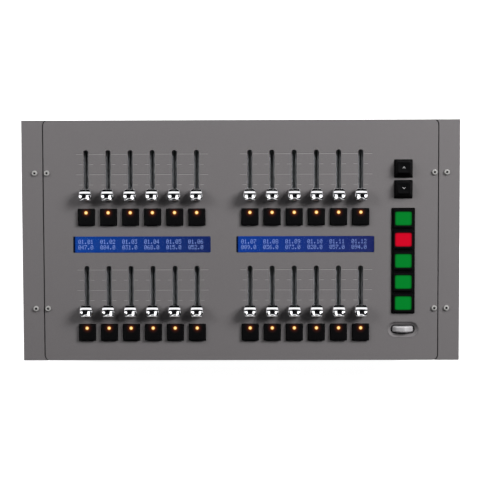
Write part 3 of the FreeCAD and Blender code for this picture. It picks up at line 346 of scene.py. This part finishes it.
def sheet_piece(name, sheets):
    """Closed solids from open grids whose rim lies flat: each gets its quads and one face underneath."""
    points, faces = [], []
    start = 0
    for sheet in sheets:
        rows, columns = sheet.shape[:2]
        index = np.arange(rows * columns).reshape(rows, columns) + start
        quads = np.stack([index[:-1, :-1], index[:-1, 1:], index[1:, 1:], index[1:, :-1]], axis=-1)
        faces += quads.reshape(-1, 4).tolist()
        rim = [*index[0, :-1], *index[:-1, -1], *index[-1, :0:-1], *index[:0:-1, 0]]
        faces.append([int(i) for i in rim[::-1]])
        points.append(sheet.reshape(-1, 3))
        start += rows * columns
    mesh = bpy.data.meshes.new(name)
    mesh.from_pydata(np.concatenate(points).tolist(), [], faces)
    mesh.polygons.foreach_set("use_smooth", np.full(len(mesh.polygons), True))
    mesh.polygons[-1].use_smooth = False
    piece = bpy.data.objects.new(name, mesh)
    scene.collection.objects.link(piece)
    return piece


# %% Chrome, and a knob with its lever for every fader
chrome, shader = new_material("bright_chrome_plate", Metallic=1.0)
# Handling leaves a faint haze on chrome, in patches of a few millimetres.
place = add(chrome, "ShaderNodeTexCoord").outputs["Object"]
haze = add(chrome, "ShaderNodeTexNoise", [("Vector", place)], Scale=1 / (4 * MM), Detail=2.0)
haze_span = add(chrome, "ShaderNodeMapRange", [("Value", haze.outputs["Fac"])], To_Min=0.04, To_Max=0.12)
chrome.node_tree.links.new(haze_span.outputs["Result"], shader.inputs["Roughness"])
shader.inputs["Base Color"].default_value = linear("#f0f0f2")

lever_steel, shader = new_material("plain_spring_steel", Metallic=1.0)
grain(lever_steel, shader, 0.5, 0.01, "#8a8a8c", "#9c9c9e", (0.3, 0.45))

KNOB_LIFT = 2.5
LEVER_SIZE = (1.2, 4.4)
CARRIAGE_SIZE = (6.0, 10.0)
CARRIAGE_HEIGHT = 5.1
CARRIAGE_ROUND = 0.5
for name, (low, high) in zip(fader_names, fader_boxes):
    body = name + "_body"
    knob_low = np.array([low[0], low[1], PANEL_TOP + KNOB_LIFT])
    knob = sheet_piece(name + "_knob", [knob_grid(knob_low, high)])
    finish(knob, chrome, body, "chrome_knob", name)
    centre = ((low[0] + high[0]) / 2 * MM, (low[1] + high[1]) / 2 * MM, low[2] * MM)
    lever_top = PANEL_TOP + KNOB_LIFT + 1 - low[2]
    lever = rings(centre, *LEVER_SIZE, 0.3, [(0, CARRIAGE_HEIGHT), (0, lever_top)], per_corner=3)
    carriage_profile = [(0, 0), *round_over(0, CARRIAGE_HEIGHT, CARRIAGE_ROUND)]
    carriage = rings(centre, *CARRIAGE_SIZE, CARRIAGE_ROUND, carriage_profile, per_corner=3)
    finish(add_piece(name + "_lever", [lever, carriage], smooth=False), lever_steel, body, "bright_steel")
print(len(fader_names), "faders")

# %% [markdown]
# ## Flash keys
#
# Each flash key is a black ABS cap with a lamp near its rear edge. The caps of a group move together, so
# they are one piece of six solids. A lamp glows most in its middle and reddens the plastic round it, so
# each cap carries its distance from its lamp as a map, and the material turns distance into glow.

# %% Caps and lamps
KEY_EDGE = 0.35
KEY_TAPER = 0.45
KEY_SKIRT = 5.0
LAMP_RADIUS = 1.9
LAMP_OFFSET = 5.1
LAMP_RISE = 0.25
GLOW_REACH = 10.0
CAP_CORNER = 0.8
CAP_INNER_RINGS = (4.0, 8.0)


def moulded_abs(name):
    """Black ABS with a fine eroded texture. The usual specular level is 0.5; 0.08 keeps the caps as black as
    they look under these lamps."""
    material, shader = new_material(name, Specular_IOR_Level=0.08)
    grain(material, shader, 0.25, 0.015, "#070708", "#0c0c0d", (0.42, 0.55))
    return material, shader


key_plastic, shader = moulded_abs("moulded_black_abs")
lit_key_plastic, shader = moulded_abs("moulded_black_abs_by_lamp")
shader.inputs["Emission Strength"].default_value = 1.0
near_lamp = add(lit_key_plastic, "ShaderNodeUVMap", uv_map="place").outputs["UV"]
distance = add(lit_key_plastic, "ShaderNodeVectorMath", [("Vector", near_lamp)], operation="LENGTH")
glow_colours = [(0.15, "#a05a16"), (0.6, "#000000"), (0.24, "#4a1a0a"), (0.38, "#200806")]
glow_stops = [(position, linear(colour)) for position, colour in glow_colours]
glow = add(lit_key_plastic, "ShaderNodeValToRGB", [("Fac", distance.outputs["Value"])], glow_stops)
lit_key_plastic.node_tree.links.new(glow.outputs["Color"], shader.inputs["Emission Color"])

lamp_lens, shader = new_material("amber_lamp_lens", Roughness=0.15, Emission_Strength=1.0)
shader.inputs["Base Color"].default_value = linear("#8a4a10")
near_middle = add(lamp_lens, "ShaderNodeUVMap", uv_map="place").outputs["UV"]
distance = add(lamp_lens, "ShaderNodeVectorMath", [("Vector", near_middle)], operation="LENGTH")
fire_colours = [(0.0, "#fff2c4"), (1.0, "#c87a24"), (0.55, "#fbe6a0"), (0.85, "#ecc468")]
fire_stops = [(position, linear(colour)) for position, colour in fire_colours]
fire = add(lamp_lens, "ShaderNodeValToRGB", [("Fac", distance.outputs["Value"])], fire_stops)
lamp_lens.node_tree.links.new(fire.outputs["Color"], shader.inputs["Emission Color"])


def dome(x, y, base, radius, rise, rows=7, columns=20):
    """Rings from a short upright wall to the top: radius times the sine, rise times the cosine."""
    angle = np.linspace(math.pi / 2, 0.06, rows)
    ring_radius = np.concatenate([[radius], radius * np.sin(angle)])
    height = np.concatenate([[base - 1.0], base + rise * np.cos(angle)])
    turn = np.linspace(0, 2 * math.pi, columns, endpoint=False)
    grid = np.empty((rows + 1, columns, 3))
    grid[..., 0] = x + ring_radius[:, None] * np.cos(turn)
    grid[..., 1] = y + ring_radius[:, None] * np.sin(turn)
    grid[..., 2] = height[:, None]
    return grid * MM


for name in sorted(name for name in nodes if name.startswith("flash_keys")):
    low, high = node_box(name)
    size = high[1] - low[1]
    row_x = np.linspace(low[0] + size / 2, high[0] - size / 2, FADERS_PER_GROUP)
    key_y = (low[1] + high[1]) / 2
    top = high[2] - LAMP_RISE
    rise = top - PANEL_TOP
    profile = [(0, -KEY_SKIRT), (0, 0), *round_over(KEY_TAPER, rise, KEY_EDGE)]
    profile += [(inset, rise) for inset in CAP_INNER_RINGS]
    caps = [rings((x * MM, key_y * MM, PANEL_TOP * MM), size, size, CAP_CORNER, profile) for x in row_x]
    lamp_y = key_y + LAMP_OFFSET
    maps = [(cap[..., :2] / MM - (x, lamp_y)) / GLOW_REACH for cap, x in zip(caps, row_x)]
    finish(add_piece(name + "_caps", caps, uv=maps), lit_key_plastic, name + "_body", "black_plastic", name)
    lamps = [dome(x, lamp_y, top, LAMP_RADIUS, LAMP_RISE) for x in row_x]
    maps = [(lamp[..., :2] / MM - (x, lamp_y)) / LAMP_RADIUS for lamp, x in zip(lamps, row_x)]
    finish(add_piece(name + "_lamps", lamps, uv=maps), lamp_lens, name + "_body", "lit_key")
print("flash keys made")

# %% [markdown]
# ## Arrow keys
#
# These are full-height keyboard caps: a square base, sides that lean in, and a top set back from the
# front and hollowed for the fingertip. Rings make the body, each ring's middle sliding rearwards as it rises.
# The chevron is a separate thin moulding, as in a two-shot cap.

# %% Caps with a hollow top
ARROW_TOP = (14.2, 12.0)
ARROW_SHIFT = 1.4
ARROW_HOLLOW = 0.8
ARROW_SKIRT = 5.0
ARROW_BRIM_DROP = 0.05


def arrow_cap(x, y, size, rise):
    """Rings from the skirt to the shoulder, then inwards and down into the hollow (a cosine bowl)."""
    width, length = ARROW_TOP
    loops = []
    for share in (-ARROW_SKIRT, 0.0, 0.15, 0.4, 0.7, 0.9, 0.97, 1.0):
        lean = max(share, 0) ** 0.9
        height = share if share < 0 else share * (rise - ARROW_BRIM_DROP)
        draw = 0.35 if share == 1.0 else 0.08 if share == 0.97 else 0.0
        ring_width = size + (width - size) * lean - 2 * draw
        ring_length = size + (length - size) * lean - 2 * draw
        loop = rounded_rectangle(ring_width, ring_length, 0.8 + 0.8 * lean)
        loops.append(np.column_stack([loop + (0, ARROW_SHIFT * lean), np.full(len(loop), height)]))
    for share in (0.85, 0.65, 0.45, 0.25, 0.08):
        loop = rounded_rectangle(width * share, length * share, 1.6 + 2.0 * (1 - share) * share)
        height = rise - ARROW_BRIM_DROP - ARROW_HOLLOW * math.cos(share * math.pi / 2)
        loops.append(np.column_stack([loop + (0, ARROW_SHIFT), np.full(len(loop), height)]))
    return np.array(loops) * MM + np.array((x, y, PANEL_TOP)) * MM


legend_white, shader = new_material("two_shot_legend")
grain(legend_white, shader, 0.3, 0.01, "#cfcfcf", "#dcdcdc", (0.4, 0.5))
CHEVRON_ARM = 2.3
CHEVRON_WIDTH = 0.36
CHEVRON_ANGLE = 50
CHEVRON_SPREAD = 0.3
CHEVRON_LIFTS = (-0.3, 0.06)


def chevron(x, y, base, up):
    """Two thin bars that meet in a point: each is a rectangle turned by the angle, one each way."""
    bars = []
    for side in (-1, 1):
        angle = math.radians(CHEVRON_ANGLE) * -side * up
        bar = rounded_rectangle(CHEVRON_ARM, CHEVRON_WIDTH, 0.15, per_corner=3)
        cosine, sine = math.cos(angle), math.sin(angle)
        turned = bar @ np.array([[cosine, sine], [-sine, cosine]])
        middle = (x + side * CHEVRON_ARM * CHEVRON_SPREAD, y)
        levels = [np.full(len(turned), base + lift) for lift in CHEVRON_LIFTS]
        bars.append(np.array([np.column_stack([turned + middle, level]) for level in levels]) * MM)
    return bars


for name, up in (("arrow_key_up", 1), ("arrow_key_down", -1)):
    low, high = node_box(name)
    x, y = (low[0] + high[0]) / 2, (low[1] + high[1]) / 2
    rise = high[2] - PANEL_TOP
    cap = add_piece(name + "_cap", [arrow_cap(x, y, high[0] - low[0], rise)])
    finish(cap, key_plastic, name + "_body", "black_plastic", name)
    bars = chevron(x, y + ARROW_SHIFT, high[2] - ARROW_HOLLOW, up)
    legend = add_piece(name + "_legend", bars, smooth=False)
    finish(legend, legend_white, name + "_body", "lit_key")
print("arrow keys made")

# %% [markdown]
# ## Screen keys
#
# Five keys with a back-lit liquid crystal window sit in one black frame. The light comes from behind, so it
# is even in the middle and fades at the window's edge. Each lens carries a map from -1 to 1 both ways, and
# the material fades with the two distances' ninth powers added, which stays near nought until the edge.

# %% Frame, caps and lit windows
dress("screen_key_housing", key_plastic)
LENS_SIZE = (18.9, 15.6)
LENS_CORNER = 0.6
LENS_SUNK = 0.3
LENS_UNDER = 1.6
LENS_GAP = 0.02
CAP_EDGE = 0.8
SCREEN_CAP_CORNER = 1.2
OPENING_PROFILE = [(-0.25, 0), (0, -0.3), (0, -1.5)]  # inset, then height below the cap's top
FADE_POWER = 9.0


def lit_window(name, edge, middle):
    """Light that fades towards the window's edge, behind a glossy clear cover."""
    material, shader = new_material(name, Roughness=0.22, Specular_IOR_Level=0.2, Emission_Strength=1.0)
    shader.inputs["Base Color"].default_value = linear("#040504")
    place = add(material, "ShaderNodeUVMap", uv_map="place").outputs["UV"]
    split = add(material, "ShaderNodeSeparateXYZ", [("Vector", place)])
    spans = []
    for axis in ("X", "Y"):
        distance = add(material, "ShaderNodeMath", [(0, split.outputs[axis])], operation="ABSOLUTE")
        spans.append(add(material, "ShaderNodeMath", [(0, distance.outputs[0])], operation="POWER"))
        spans[-1].inputs[1].default_value = FADE_POWER
    both = [(number, power.outputs[0]) for number, power in enumerate(spans)]
    total = add(material, "ShaderNodeMath", both, operation="ADD")
    stops = [(0.0, linear(middle)), (1.0, linear(edge)), (0.07, linear(middle))]
    colour = add(material, "ShaderNodeValToRGB", [("Fac", total.outputs[0])], stops)
    material.node_tree.links.new(colour.outputs["Color"], shader.inputs["Emission Color"])
    return material


green_window = lit_window("green_backlit_window", "#010e05", "#02802a")
red_window = lit_window("red_backlit_window", "#240208", "#d00425")
screen_key_names = sorted(name for name in nodes if name.startswith("screen_key_") and name[-1].isdigit())
for index, name in enumerate(screen_key_names):
    low, high = node_box(name)
    centre = ((low[0] + high[0]) / 2 * MM, (low[1] + high[1]) / 2 * MM, low[2] * MM)
    width, length, rise = high - low
    wall = rings(centre, width, length, SCREEN_CAP_CORNER, [(0, 0), *round_over(0, rise, CAP_EDGE)])
    opening_profile = [(inset, rise + below) for inset, below in OPENING_PROFILE]
    cap = np.concatenate([wall, rings(centre, *LENS_SIZE, LENS_CORNER, opening_profile)])
    finish(add_piece(name + "_cap", [cap], smooth=False), key_plastic, name + "_body", "black_plastic", name)
    face = rise - LENS_SUNK
    lens_profile = [(LENS_GAP, rise - LENS_UNDER), (LENS_GAP, face), (3.0, face)]
    lens = rings(centre, *LENS_SIZE, LENS_CORNER, lens_profile)
    lens_map = (lens[..., :2] - centre[:2]) / MM / (np.array(LENS_SIZE) / 2)
    window = red_window if index == 1 else green_window
    finish(add_piece(name + "_lens", [lens], smooth=False, uv=[lens_map]), window, name + "_body", "lit_key")
print("screen keys made")

# %% [markdown]
# ## Displays
#
# Two-line character displays with a blue backlight, brighter at the lamp's end. The characters are real
# dots, five across and seven down, because a dot display's look is its dots. They show a number for
# each fader and its level, nothing else.

# %% Digits as dots
DIGITS = {
    "0": ".###. #...# #..## #.#.# ##..# #...# .###.",
    "1": "..#.. .##.. ..#.. ..#.. ..#.. ..#.. .###.",
    "2": ".###. #...# ....# ...#. ..#.. .#... #####",
    "3": "##### ...#. ..#.. ...#. ....# #...# .###.",
    "4": "...#. ..##. .#.#. #..#. ##### ...#. ...#.",
    "5": "##### #.... ####. ....# ....# #...# .###.",
    "6": "..##. .#... #.... ####. #...# #...# .###.",
    "7": "##### ....# ...#. ..#.. .#... .#... .#...",
    "8": ".###. #...# #...# .###. #...# #...# .###.",
    "9": ".###. #...# #...# .#### ....# ...#. .##..",
    ".": "..... ..... ..... ..... ..... .##.. .##..",
}
DOT_PITCH = (0.57, 0.66)
DOT_SIZE = (0.52, 0.6)
CHARACTER_PITCH = 3.4
LINE_PITCH = 6.2
TEXT_START = -9.4
DOT_HEIGHT = 0.05
FACE_GAP = 0.2
FACE_OVERHANG = 15.0
FACE_LENGTH = 17.8


def dots_of(text, left, middle_y):
    """(x, y) of every lit dot of a text whose first character starts at left."""
    places = []
    for index, character in enumerate(text):
        lit = np.array([[dot == "#" for dot in row] for row in DIGITS[character].split()])
        down, across = np.nonzero(lit)
        x = left + index * CHARACTER_PITCH + across * DOT_PITCH[0]
        places.append(np.column_stack([x, middle_y + (3 - down) * DOT_PITCH[1]]))
    return np.concatenate(places)


dot_light, shader = new_material("lit_display_dots", Roughness=0.4, Emission_Strength=0.9)
shader.inputs["Base Color"].default_value = linear("#101830")
shader.inputs["Emission Color"].default_value = linear("#a9c0ff")


def display_glow(name, left_colour, right_colour):
    """A backlight that fades from its lamp's end to the other, under a glossy cover."""
    material, shader = new_material(name, Roughness=0.3, Emission_Strength=1.0)
    shader.inputs["Base Color"].default_value = linear("#06081a")
    place = add(material, "ShaderNodeUVMap", uv_map="place").outputs["UV"]
    along = add(material, "ShaderNodeSeparateXYZ", [("Vector", place)])
    colours = [(0.0, "#04060a"), (1.0, right_colour), (0.010, "#04060a"), (0.014, left_colour)]
    stops = [(position, linear(colour)) for position, colour in colours]
    colour = add(material, "ShaderNodeValToRGB", [("Fac", along.outputs["X"])], stops)
    material.node_tree.links.new(colour.outputs["Color"], shader.inputs["Emission Color"])
    return material


window_low = node_box("display_windows")[0]
glow_left = display_glow("blue_display_near_lamp", "#1047a0", "#182a66")
glow_right = display_glow("blue_display_far_lamp", "#12429e", "#222a66")
FACE_TOP = window_low[2] - FACE_GAP
for side, glow, group in zip(("left", "right"), (glow_left, glow_right), groups):
    module_low, module_high = node_box("display_module_" + side)
    middle = (module_low + module_high) / 2
    face_size = (group[-1] - group[0] + 2 * FACE_OVERHANG, FACE_LENGTH)
    centre = (middle[0] * MM, middle[1] * MM, FACE_TOP * MM)
    face = rings(centre, *face_size, 1.0, [(0, -0.25), (0, -0.1), (0.1, 0), (4, 0)])
    along = (face[..., 0] / MM - middle[0]) / face_size[0] + 0.5
    face_map = np.stack([along, np.full_like(along, 0.5)], axis=-1)
    face_piece = add_piece("display_face_" + side, [face], smooth=False, uv=[face_map])
    finish(face_piece, glow, "desk", "display_glass")
    places = []
    for index, x in enumerate(group):
        number = index + (1 if side == "left" else 1 + FADERS_PER_GROUP)
        made_up_level = (number * 37) % 90 + 10
        places.append(dots_of(f"01.{number:02d}", x + TEXT_START, middle[1] + LINE_PITCH / 2))
        places.append(dots_of(f"{made_up_level:05.1f}", x + TEXT_START, middle[1] - LINE_PITCH / 2))
    places = np.concatenate(places) * MM
    offsets = np.column_stack([places, np.full(len(places), FACE_TOP * MM)])
    dots = rings((0, 0, 0), *DOT_SIZE, 0.05, [(0, 0), (0, DOT_HEIGHT)], 1) + offsets[:, None, None, :]
    finish(add_piece("display_dots_" + side, dots, smooth=False), dot_light, "desk", "display_glass")
print("displays made")

# %% [markdown]
# ## Thumbwheel, screws and what shows through the holes
#
# The wheel is silver ABS: metal flakes in the plastic make it brighter than grey and softer than
# metal. Its shape comes from the CAD, as do the screws'. A hex socket looks black because no light comes
# back out of it, and a shallow one needs help, so each gets a dark floor of painted shade. The wheel's
# bracket, seen down the slot, is steel with a black oxide.

# %% Wheel, screws, fader bodies
silver_plastic, shader = new_material("silver_flake_abs", Metallic=0.35)
grain(silver_plastic, shader, 0.4, 0.01, "#bcbabc", "#cfcdcf", (0.28, 0.36))
dress("thumb_wheel", silver_plastic)

# The dish round the wheel is pressed, so its wall is one easy curve from the panel down to the slot.
surround_low, surround_high = node_box("wheel_surround")
wheel_low, wheel_high = node_box("thumb_wheel")
wheel_middle = (wheel_low + wheel_high) / 2
DISH_SIZE = (34.7, 17.8)
DISH_DEPTH = 2.4
DISH_WALL = 4.1
DISH_RIM = 0.3
SHELL = 1.2
dish_profile = [(0.02, -DISH_DEPTH - SHELL), (0.02, -0.15), (0.15, 0.0)]
for share in np.linspace(0, 1, 9):
    drop = DISH_DEPTH * math.sin(share * math.pi / 2) ** 1.3
    dish_profile.append((DISH_RIM + (DISH_WALL - DISH_RIM) * share, -drop))
dish_profile.append((DISH_WALL, -DISH_DEPTH - SHELL))
dish_centre = (wheel_middle[0] * MM, (surround_low[1] + surround_high[1]) / 2 * MM, PANEL_TOP * MM)
dish = rings(dish_centre, *DISH_SIZE, DISH_SIZE[1] / 2, dish_profile, per_corner=14)
dish_piece = add_piece("pressed_wheel_dish", [dish], wrap_rows=True)
finish(dish_piece, coat_grey, "desk", "panel_paint", "wheel_surround")

# A black ring lines the opening as painted shade for the dark gap round the wheel. It reaches a little into
# the dish's wall, so no gap shows.
LIP = 0.5
LIP_LAP = 0.1
lip_top, lip_foot = -DISH_DEPTH + 0.05, -DISH_DEPTH - SHELL - 0.4
lip_outer, lip_inner = DISH_WALL - LIP_LAP, DISH_WALL + LIP
lip_profile = [(lip_inner, lip_top), (lip_inner, lip_foot), (lip_outer, lip_foot), (lip_outer, lip_top)]
lip = rings(dish_centre, *DISH_SIZE, DISH_SIZE[1] / 2, lip_profile, per_corner=14)
slot_shade_piece = add_piece("wheel_slot_painted_shade", [lip], wrap_rows=True, smooth=False)
finish(slot_shade_piece, key_plastic, "desk", "black_plastic")

zinc_plate, shader = new_material("bright_zinc_plate", Metallic=0.5)
grain(zinc_plate, shader, 0.6, 0.01, "#b4b3b1", "#cac9c7", (0.4, 0.55))
for name in ("cover_screws", "board_screws", "board_pillars", "power_supply"):
    dress(name, zinc_plate)

oxide_and_socket_shade, shader = new_material("black_oxide_and_painted_socket_shade")
grain(oxide_and_socket_shade, shader, 0.3, 0.01, "#0c0c0c", "#151515", (0.5, 0.7))
dress("wheel_bracket", oxide_and_socket_shade)
# Each screw socket gets a thin dark hexagon just below its top. This is painted shade, the dark that a deeper
# socket would hold.
SOCKET_ACROSS = 2.5
SOCKET_FLOOR = 0.75
SOCKET_LAP = 0.1
FLOOR_THICK = 0.5
PANEL_SCREW_INSET = 3.7
SCREW_HEAD_RADIUS = 3.0
screw_high = node_box("cover_screws")[1]
seam_x = (panel_high[0] - PANEL_SCREW_INSET, screw_high[0] - SCREW_HEAD_RADIUS)
screw_y = screw_high[1] - SCREW_HEAD_RADIUS
floor_top = screw_high[2] - SOCKET_FLOOR
turn = np.arange(6) * math.pi / 3
hexagon = np.column_stack([np.cos(turn), np.sin(turn)]) * (SOCKET_ACROSS / math.sqrt(3) + SOCKET_LAP)
floors = []
for x in seam_x:
    for side_x in (-1, 1):
        for side_y in (-1, 1):
            flat = hexagon + (side_x * x, side_y * screw_y)
            levels = (floor_top - FLOOR_THICK, floor_top)
            floors.append(np.array([np.column_stack([flat, np.full(6, level)]) for level in levels]) * MM)
finish(add_piece("screw_socket_painted_shade", floors, smooth=False), oxide_and_socket_shade, "desk", "screw_steel")

# The channels are tinned steel. Little light gets down a narrow slot, so it is drawn matt and much paler.
fader_frame, shader = new_material("tinned_steel_fader_frame")
grain(fader_frame, shader, 0.4, 0.01, "#dadee2", "#e4e7ea", (0.45, 0.6))
dress("fader_bodies", fader_frame)
print("wheel and screws dressed")

# %% [markdown]
# ## Inside, underneath and behind
#
# Little of this shows, yet every piece gets its real finish: clear acrylic windows, green solder mask on the
# boards, grey ribbon, soft black rubber feet and matt sockets.

# %% Hidden finishes
acrylic, shader = new_material("clear_acrylic_window", Transmission_Weight=1.0, IOR=1.49)
shader.inputs["Base Color"].default_value = linear("#e4e8f0")
place = add(acrylic, "ShaderNodeTexCoord").outputs["Object"]
smear = add(acrylic, "ShaderNodeTexNoise", [("Vector", place)], Scale=1 / (12 * MM), Detail=2.0)
smear_span = add(acrylic, "ShaderNodeMapRange", [("Value", smear.outputs["Fac"])], To_Min=0.01, To_Max=0.05)
acrylic.node_tree.links.new(smear_span.outputs["Result"], shader.inputs["Roughness"])
dress("display_windows", acrylic)

solder_mask, shader = new_material("green_solder_mask")
grain(solder_mask, shader, 2.0, 0.02, "#123f24", "#1d5a34", (0.25, 0.35))
for name in ("display_module_left", "display_module_right", "control_boards", "master_board", "main_board"):
    dress(name, solder_mask)

ribbon, shader = new_material("grey_ribbon_pvc")
grain(ribbon, shader, 1.27, 0.05, "#8b8d90", "#a2a4a7", (0.5, 0.6))
dress("ribbon_cables", ribbon)

rubber, shader = new_material("black_foot_rubber")
grain(rubber, shader, 0.8, 0.05, "#151515", "#202020", (0.75, 0.9))
dress("rubber_feet", rubber)

socket_plastic, shader = new_material("matt_socket_nylon")
grain(socket_plastic, shader, 0.4, 0.02, "#161617", "#202122", (0.5, 0.65))
for name in ("mains_inlet", "data_sockets", "key_switches", "wheel_encoder"):
    dress(name, socket_plastic)
print("every CAD node has a finish")

# %% [markdown]
# ## Floor, light and camera
#
# A chromed knob is a mirror, so it shows the studio: dark overhead, a card at the left, one at the right and
# a long one behind. The light itself comes from three stronger softboxes that the chrome doesn't show; the
# two at the sides give each knob its pair of soft shadows. The table is a white light table, whose own glow
# washes the shadows round the desk away.

# %% Floor
FLOOR_HALF = 3.0
span = np.linspace(-FLOOR_HALF, FLOOR_HALF, 13)
floor_x, floor_y = np.meshgrid(span, span)
floor_grid = np.stack([floor_x, floor_y, np.zeros_like(floor_x)], axis=-1)
index = np.arange(floor_x.size).reshape(floor_x.shape)
quads = np.stack([index[:-1, :-1], index[:-1, 1:], index[1:, 1:], index[1:, :-1]], axis=-1).reshape(-1, 4)
floor_mesh = bpy.data.meshes.new("light_table")
floor_mesh.from_pydata(floor_grid.reshape(-1, 3).tolist(), [], quads.tolist())
floor = bpy.data.objects.new("light_table", floor_mesh)
scene.collection.objects.link(floor)
opal, shader = new_material("opal_light_table", Emission_Strength=0.98)
grain(opal, shader, 40.0, 0.0, "#ededed", "#f2f2f2", (0.6, 0.7))
shader.inputs["Emission Color"].default_value = linear("#ffffff")
floor_mesh.materials.append(opal)
print("floor laid")


# %% Softboxes and reflection cards
def softbox(name, place, width, height, power, mirrored):
    """A rectangular lamp turned towards the middle of the desk. Either it lights and isn't mirrored, or it
    is a card: seen in the chrome, and lighting nothing else."""
    lamp = bpy.data.lights.new(name, "AREA")
    lamp.shape = "RECTANGLE"
    lamp.size, lamp.size_y = width, height
    lamp.energy = power
    holder = bpy.data.objects.new(name, lamp)
    holder.location = place
    aim = Vector((0, 0, PANEL_TOP * MM)) - Vector(place)
    holder.rotation_euler = aim.to_track_quat("-Z", "Y").to_euler()
    holder.visible_camera = False
    holder.visible_glossy = mirrored
    holder.visible_diffuse = not mirrored
    scene.collection.objects.link(holder)


softbox("softbox_left", (-1.32, 0.78, 1.15), 1.0, 0.8, 14.5, False)
softbox("softbox_right", (1.38, 1.0, 1.22), 1.0, 0.8, 59, False)
softbox("softbox_rear", (0.0, 1.45, 1.15), 2.0, 0.35, 5, False)
softbox("card_left", (-0.76, 0.28, 0.96), 0.98, 0.56, 3.1, True)
softbox("card_right", (0.76, 0.28, 0.96), 0.98, 0.56, 3.1, True)
softbox("card_rear", (0.0, 1.12, 1.33), 2.2, 0.62, 4.6, True)

# The backdrop is white to the camera alone. To everything else the studio is nearly black.
world = bpy.data.worlds.new("studio")
world.use_nodes = True
scene.world = world
background = world.node_tree.nodes["Background"]
seen = world.node_tree.nodes.new("ShaderNodeLightPath").outputs["Is Camera Ray"]
shade = world.node_tree.nodes.new("ShaderNodeMix")
shade.data_type = "RGBA"
world.node_tree.links.new(seen, shade.inputs["Factor"])
shade.inputs["A"].default_value = linear("#141416")
shade.inputs["B"].default_value = linear("#ffffff")
world.node_tree.links.new(shade.outputs["Result"], background.inputs["Color"])
print(len(bpy.data.lights), "lamps")

# %% Camera
# It looks almost straight down from a metre and a half above the panel, a little right of and behind the
# middle.
camera_data = bpy.data.cameras.new("camera")
camera_data.sensor_width = 36.0
camera_data.lens = 102.08
camera = bpy.data.objects.new("camera", camera_data)
camera.location = (0.0199, 0.0899, PANEL_TOP * MM + 1.5)
camera.rotation_euler = Euler([math.radians(angle) for angle in (-3.404, 0.773, -0.184)])
scene.collection.objects.link(camera)
scene.camera = camera
scene.view_settings.view_transform = "Standard"
print("camera lens", camera_data.lens, "mm")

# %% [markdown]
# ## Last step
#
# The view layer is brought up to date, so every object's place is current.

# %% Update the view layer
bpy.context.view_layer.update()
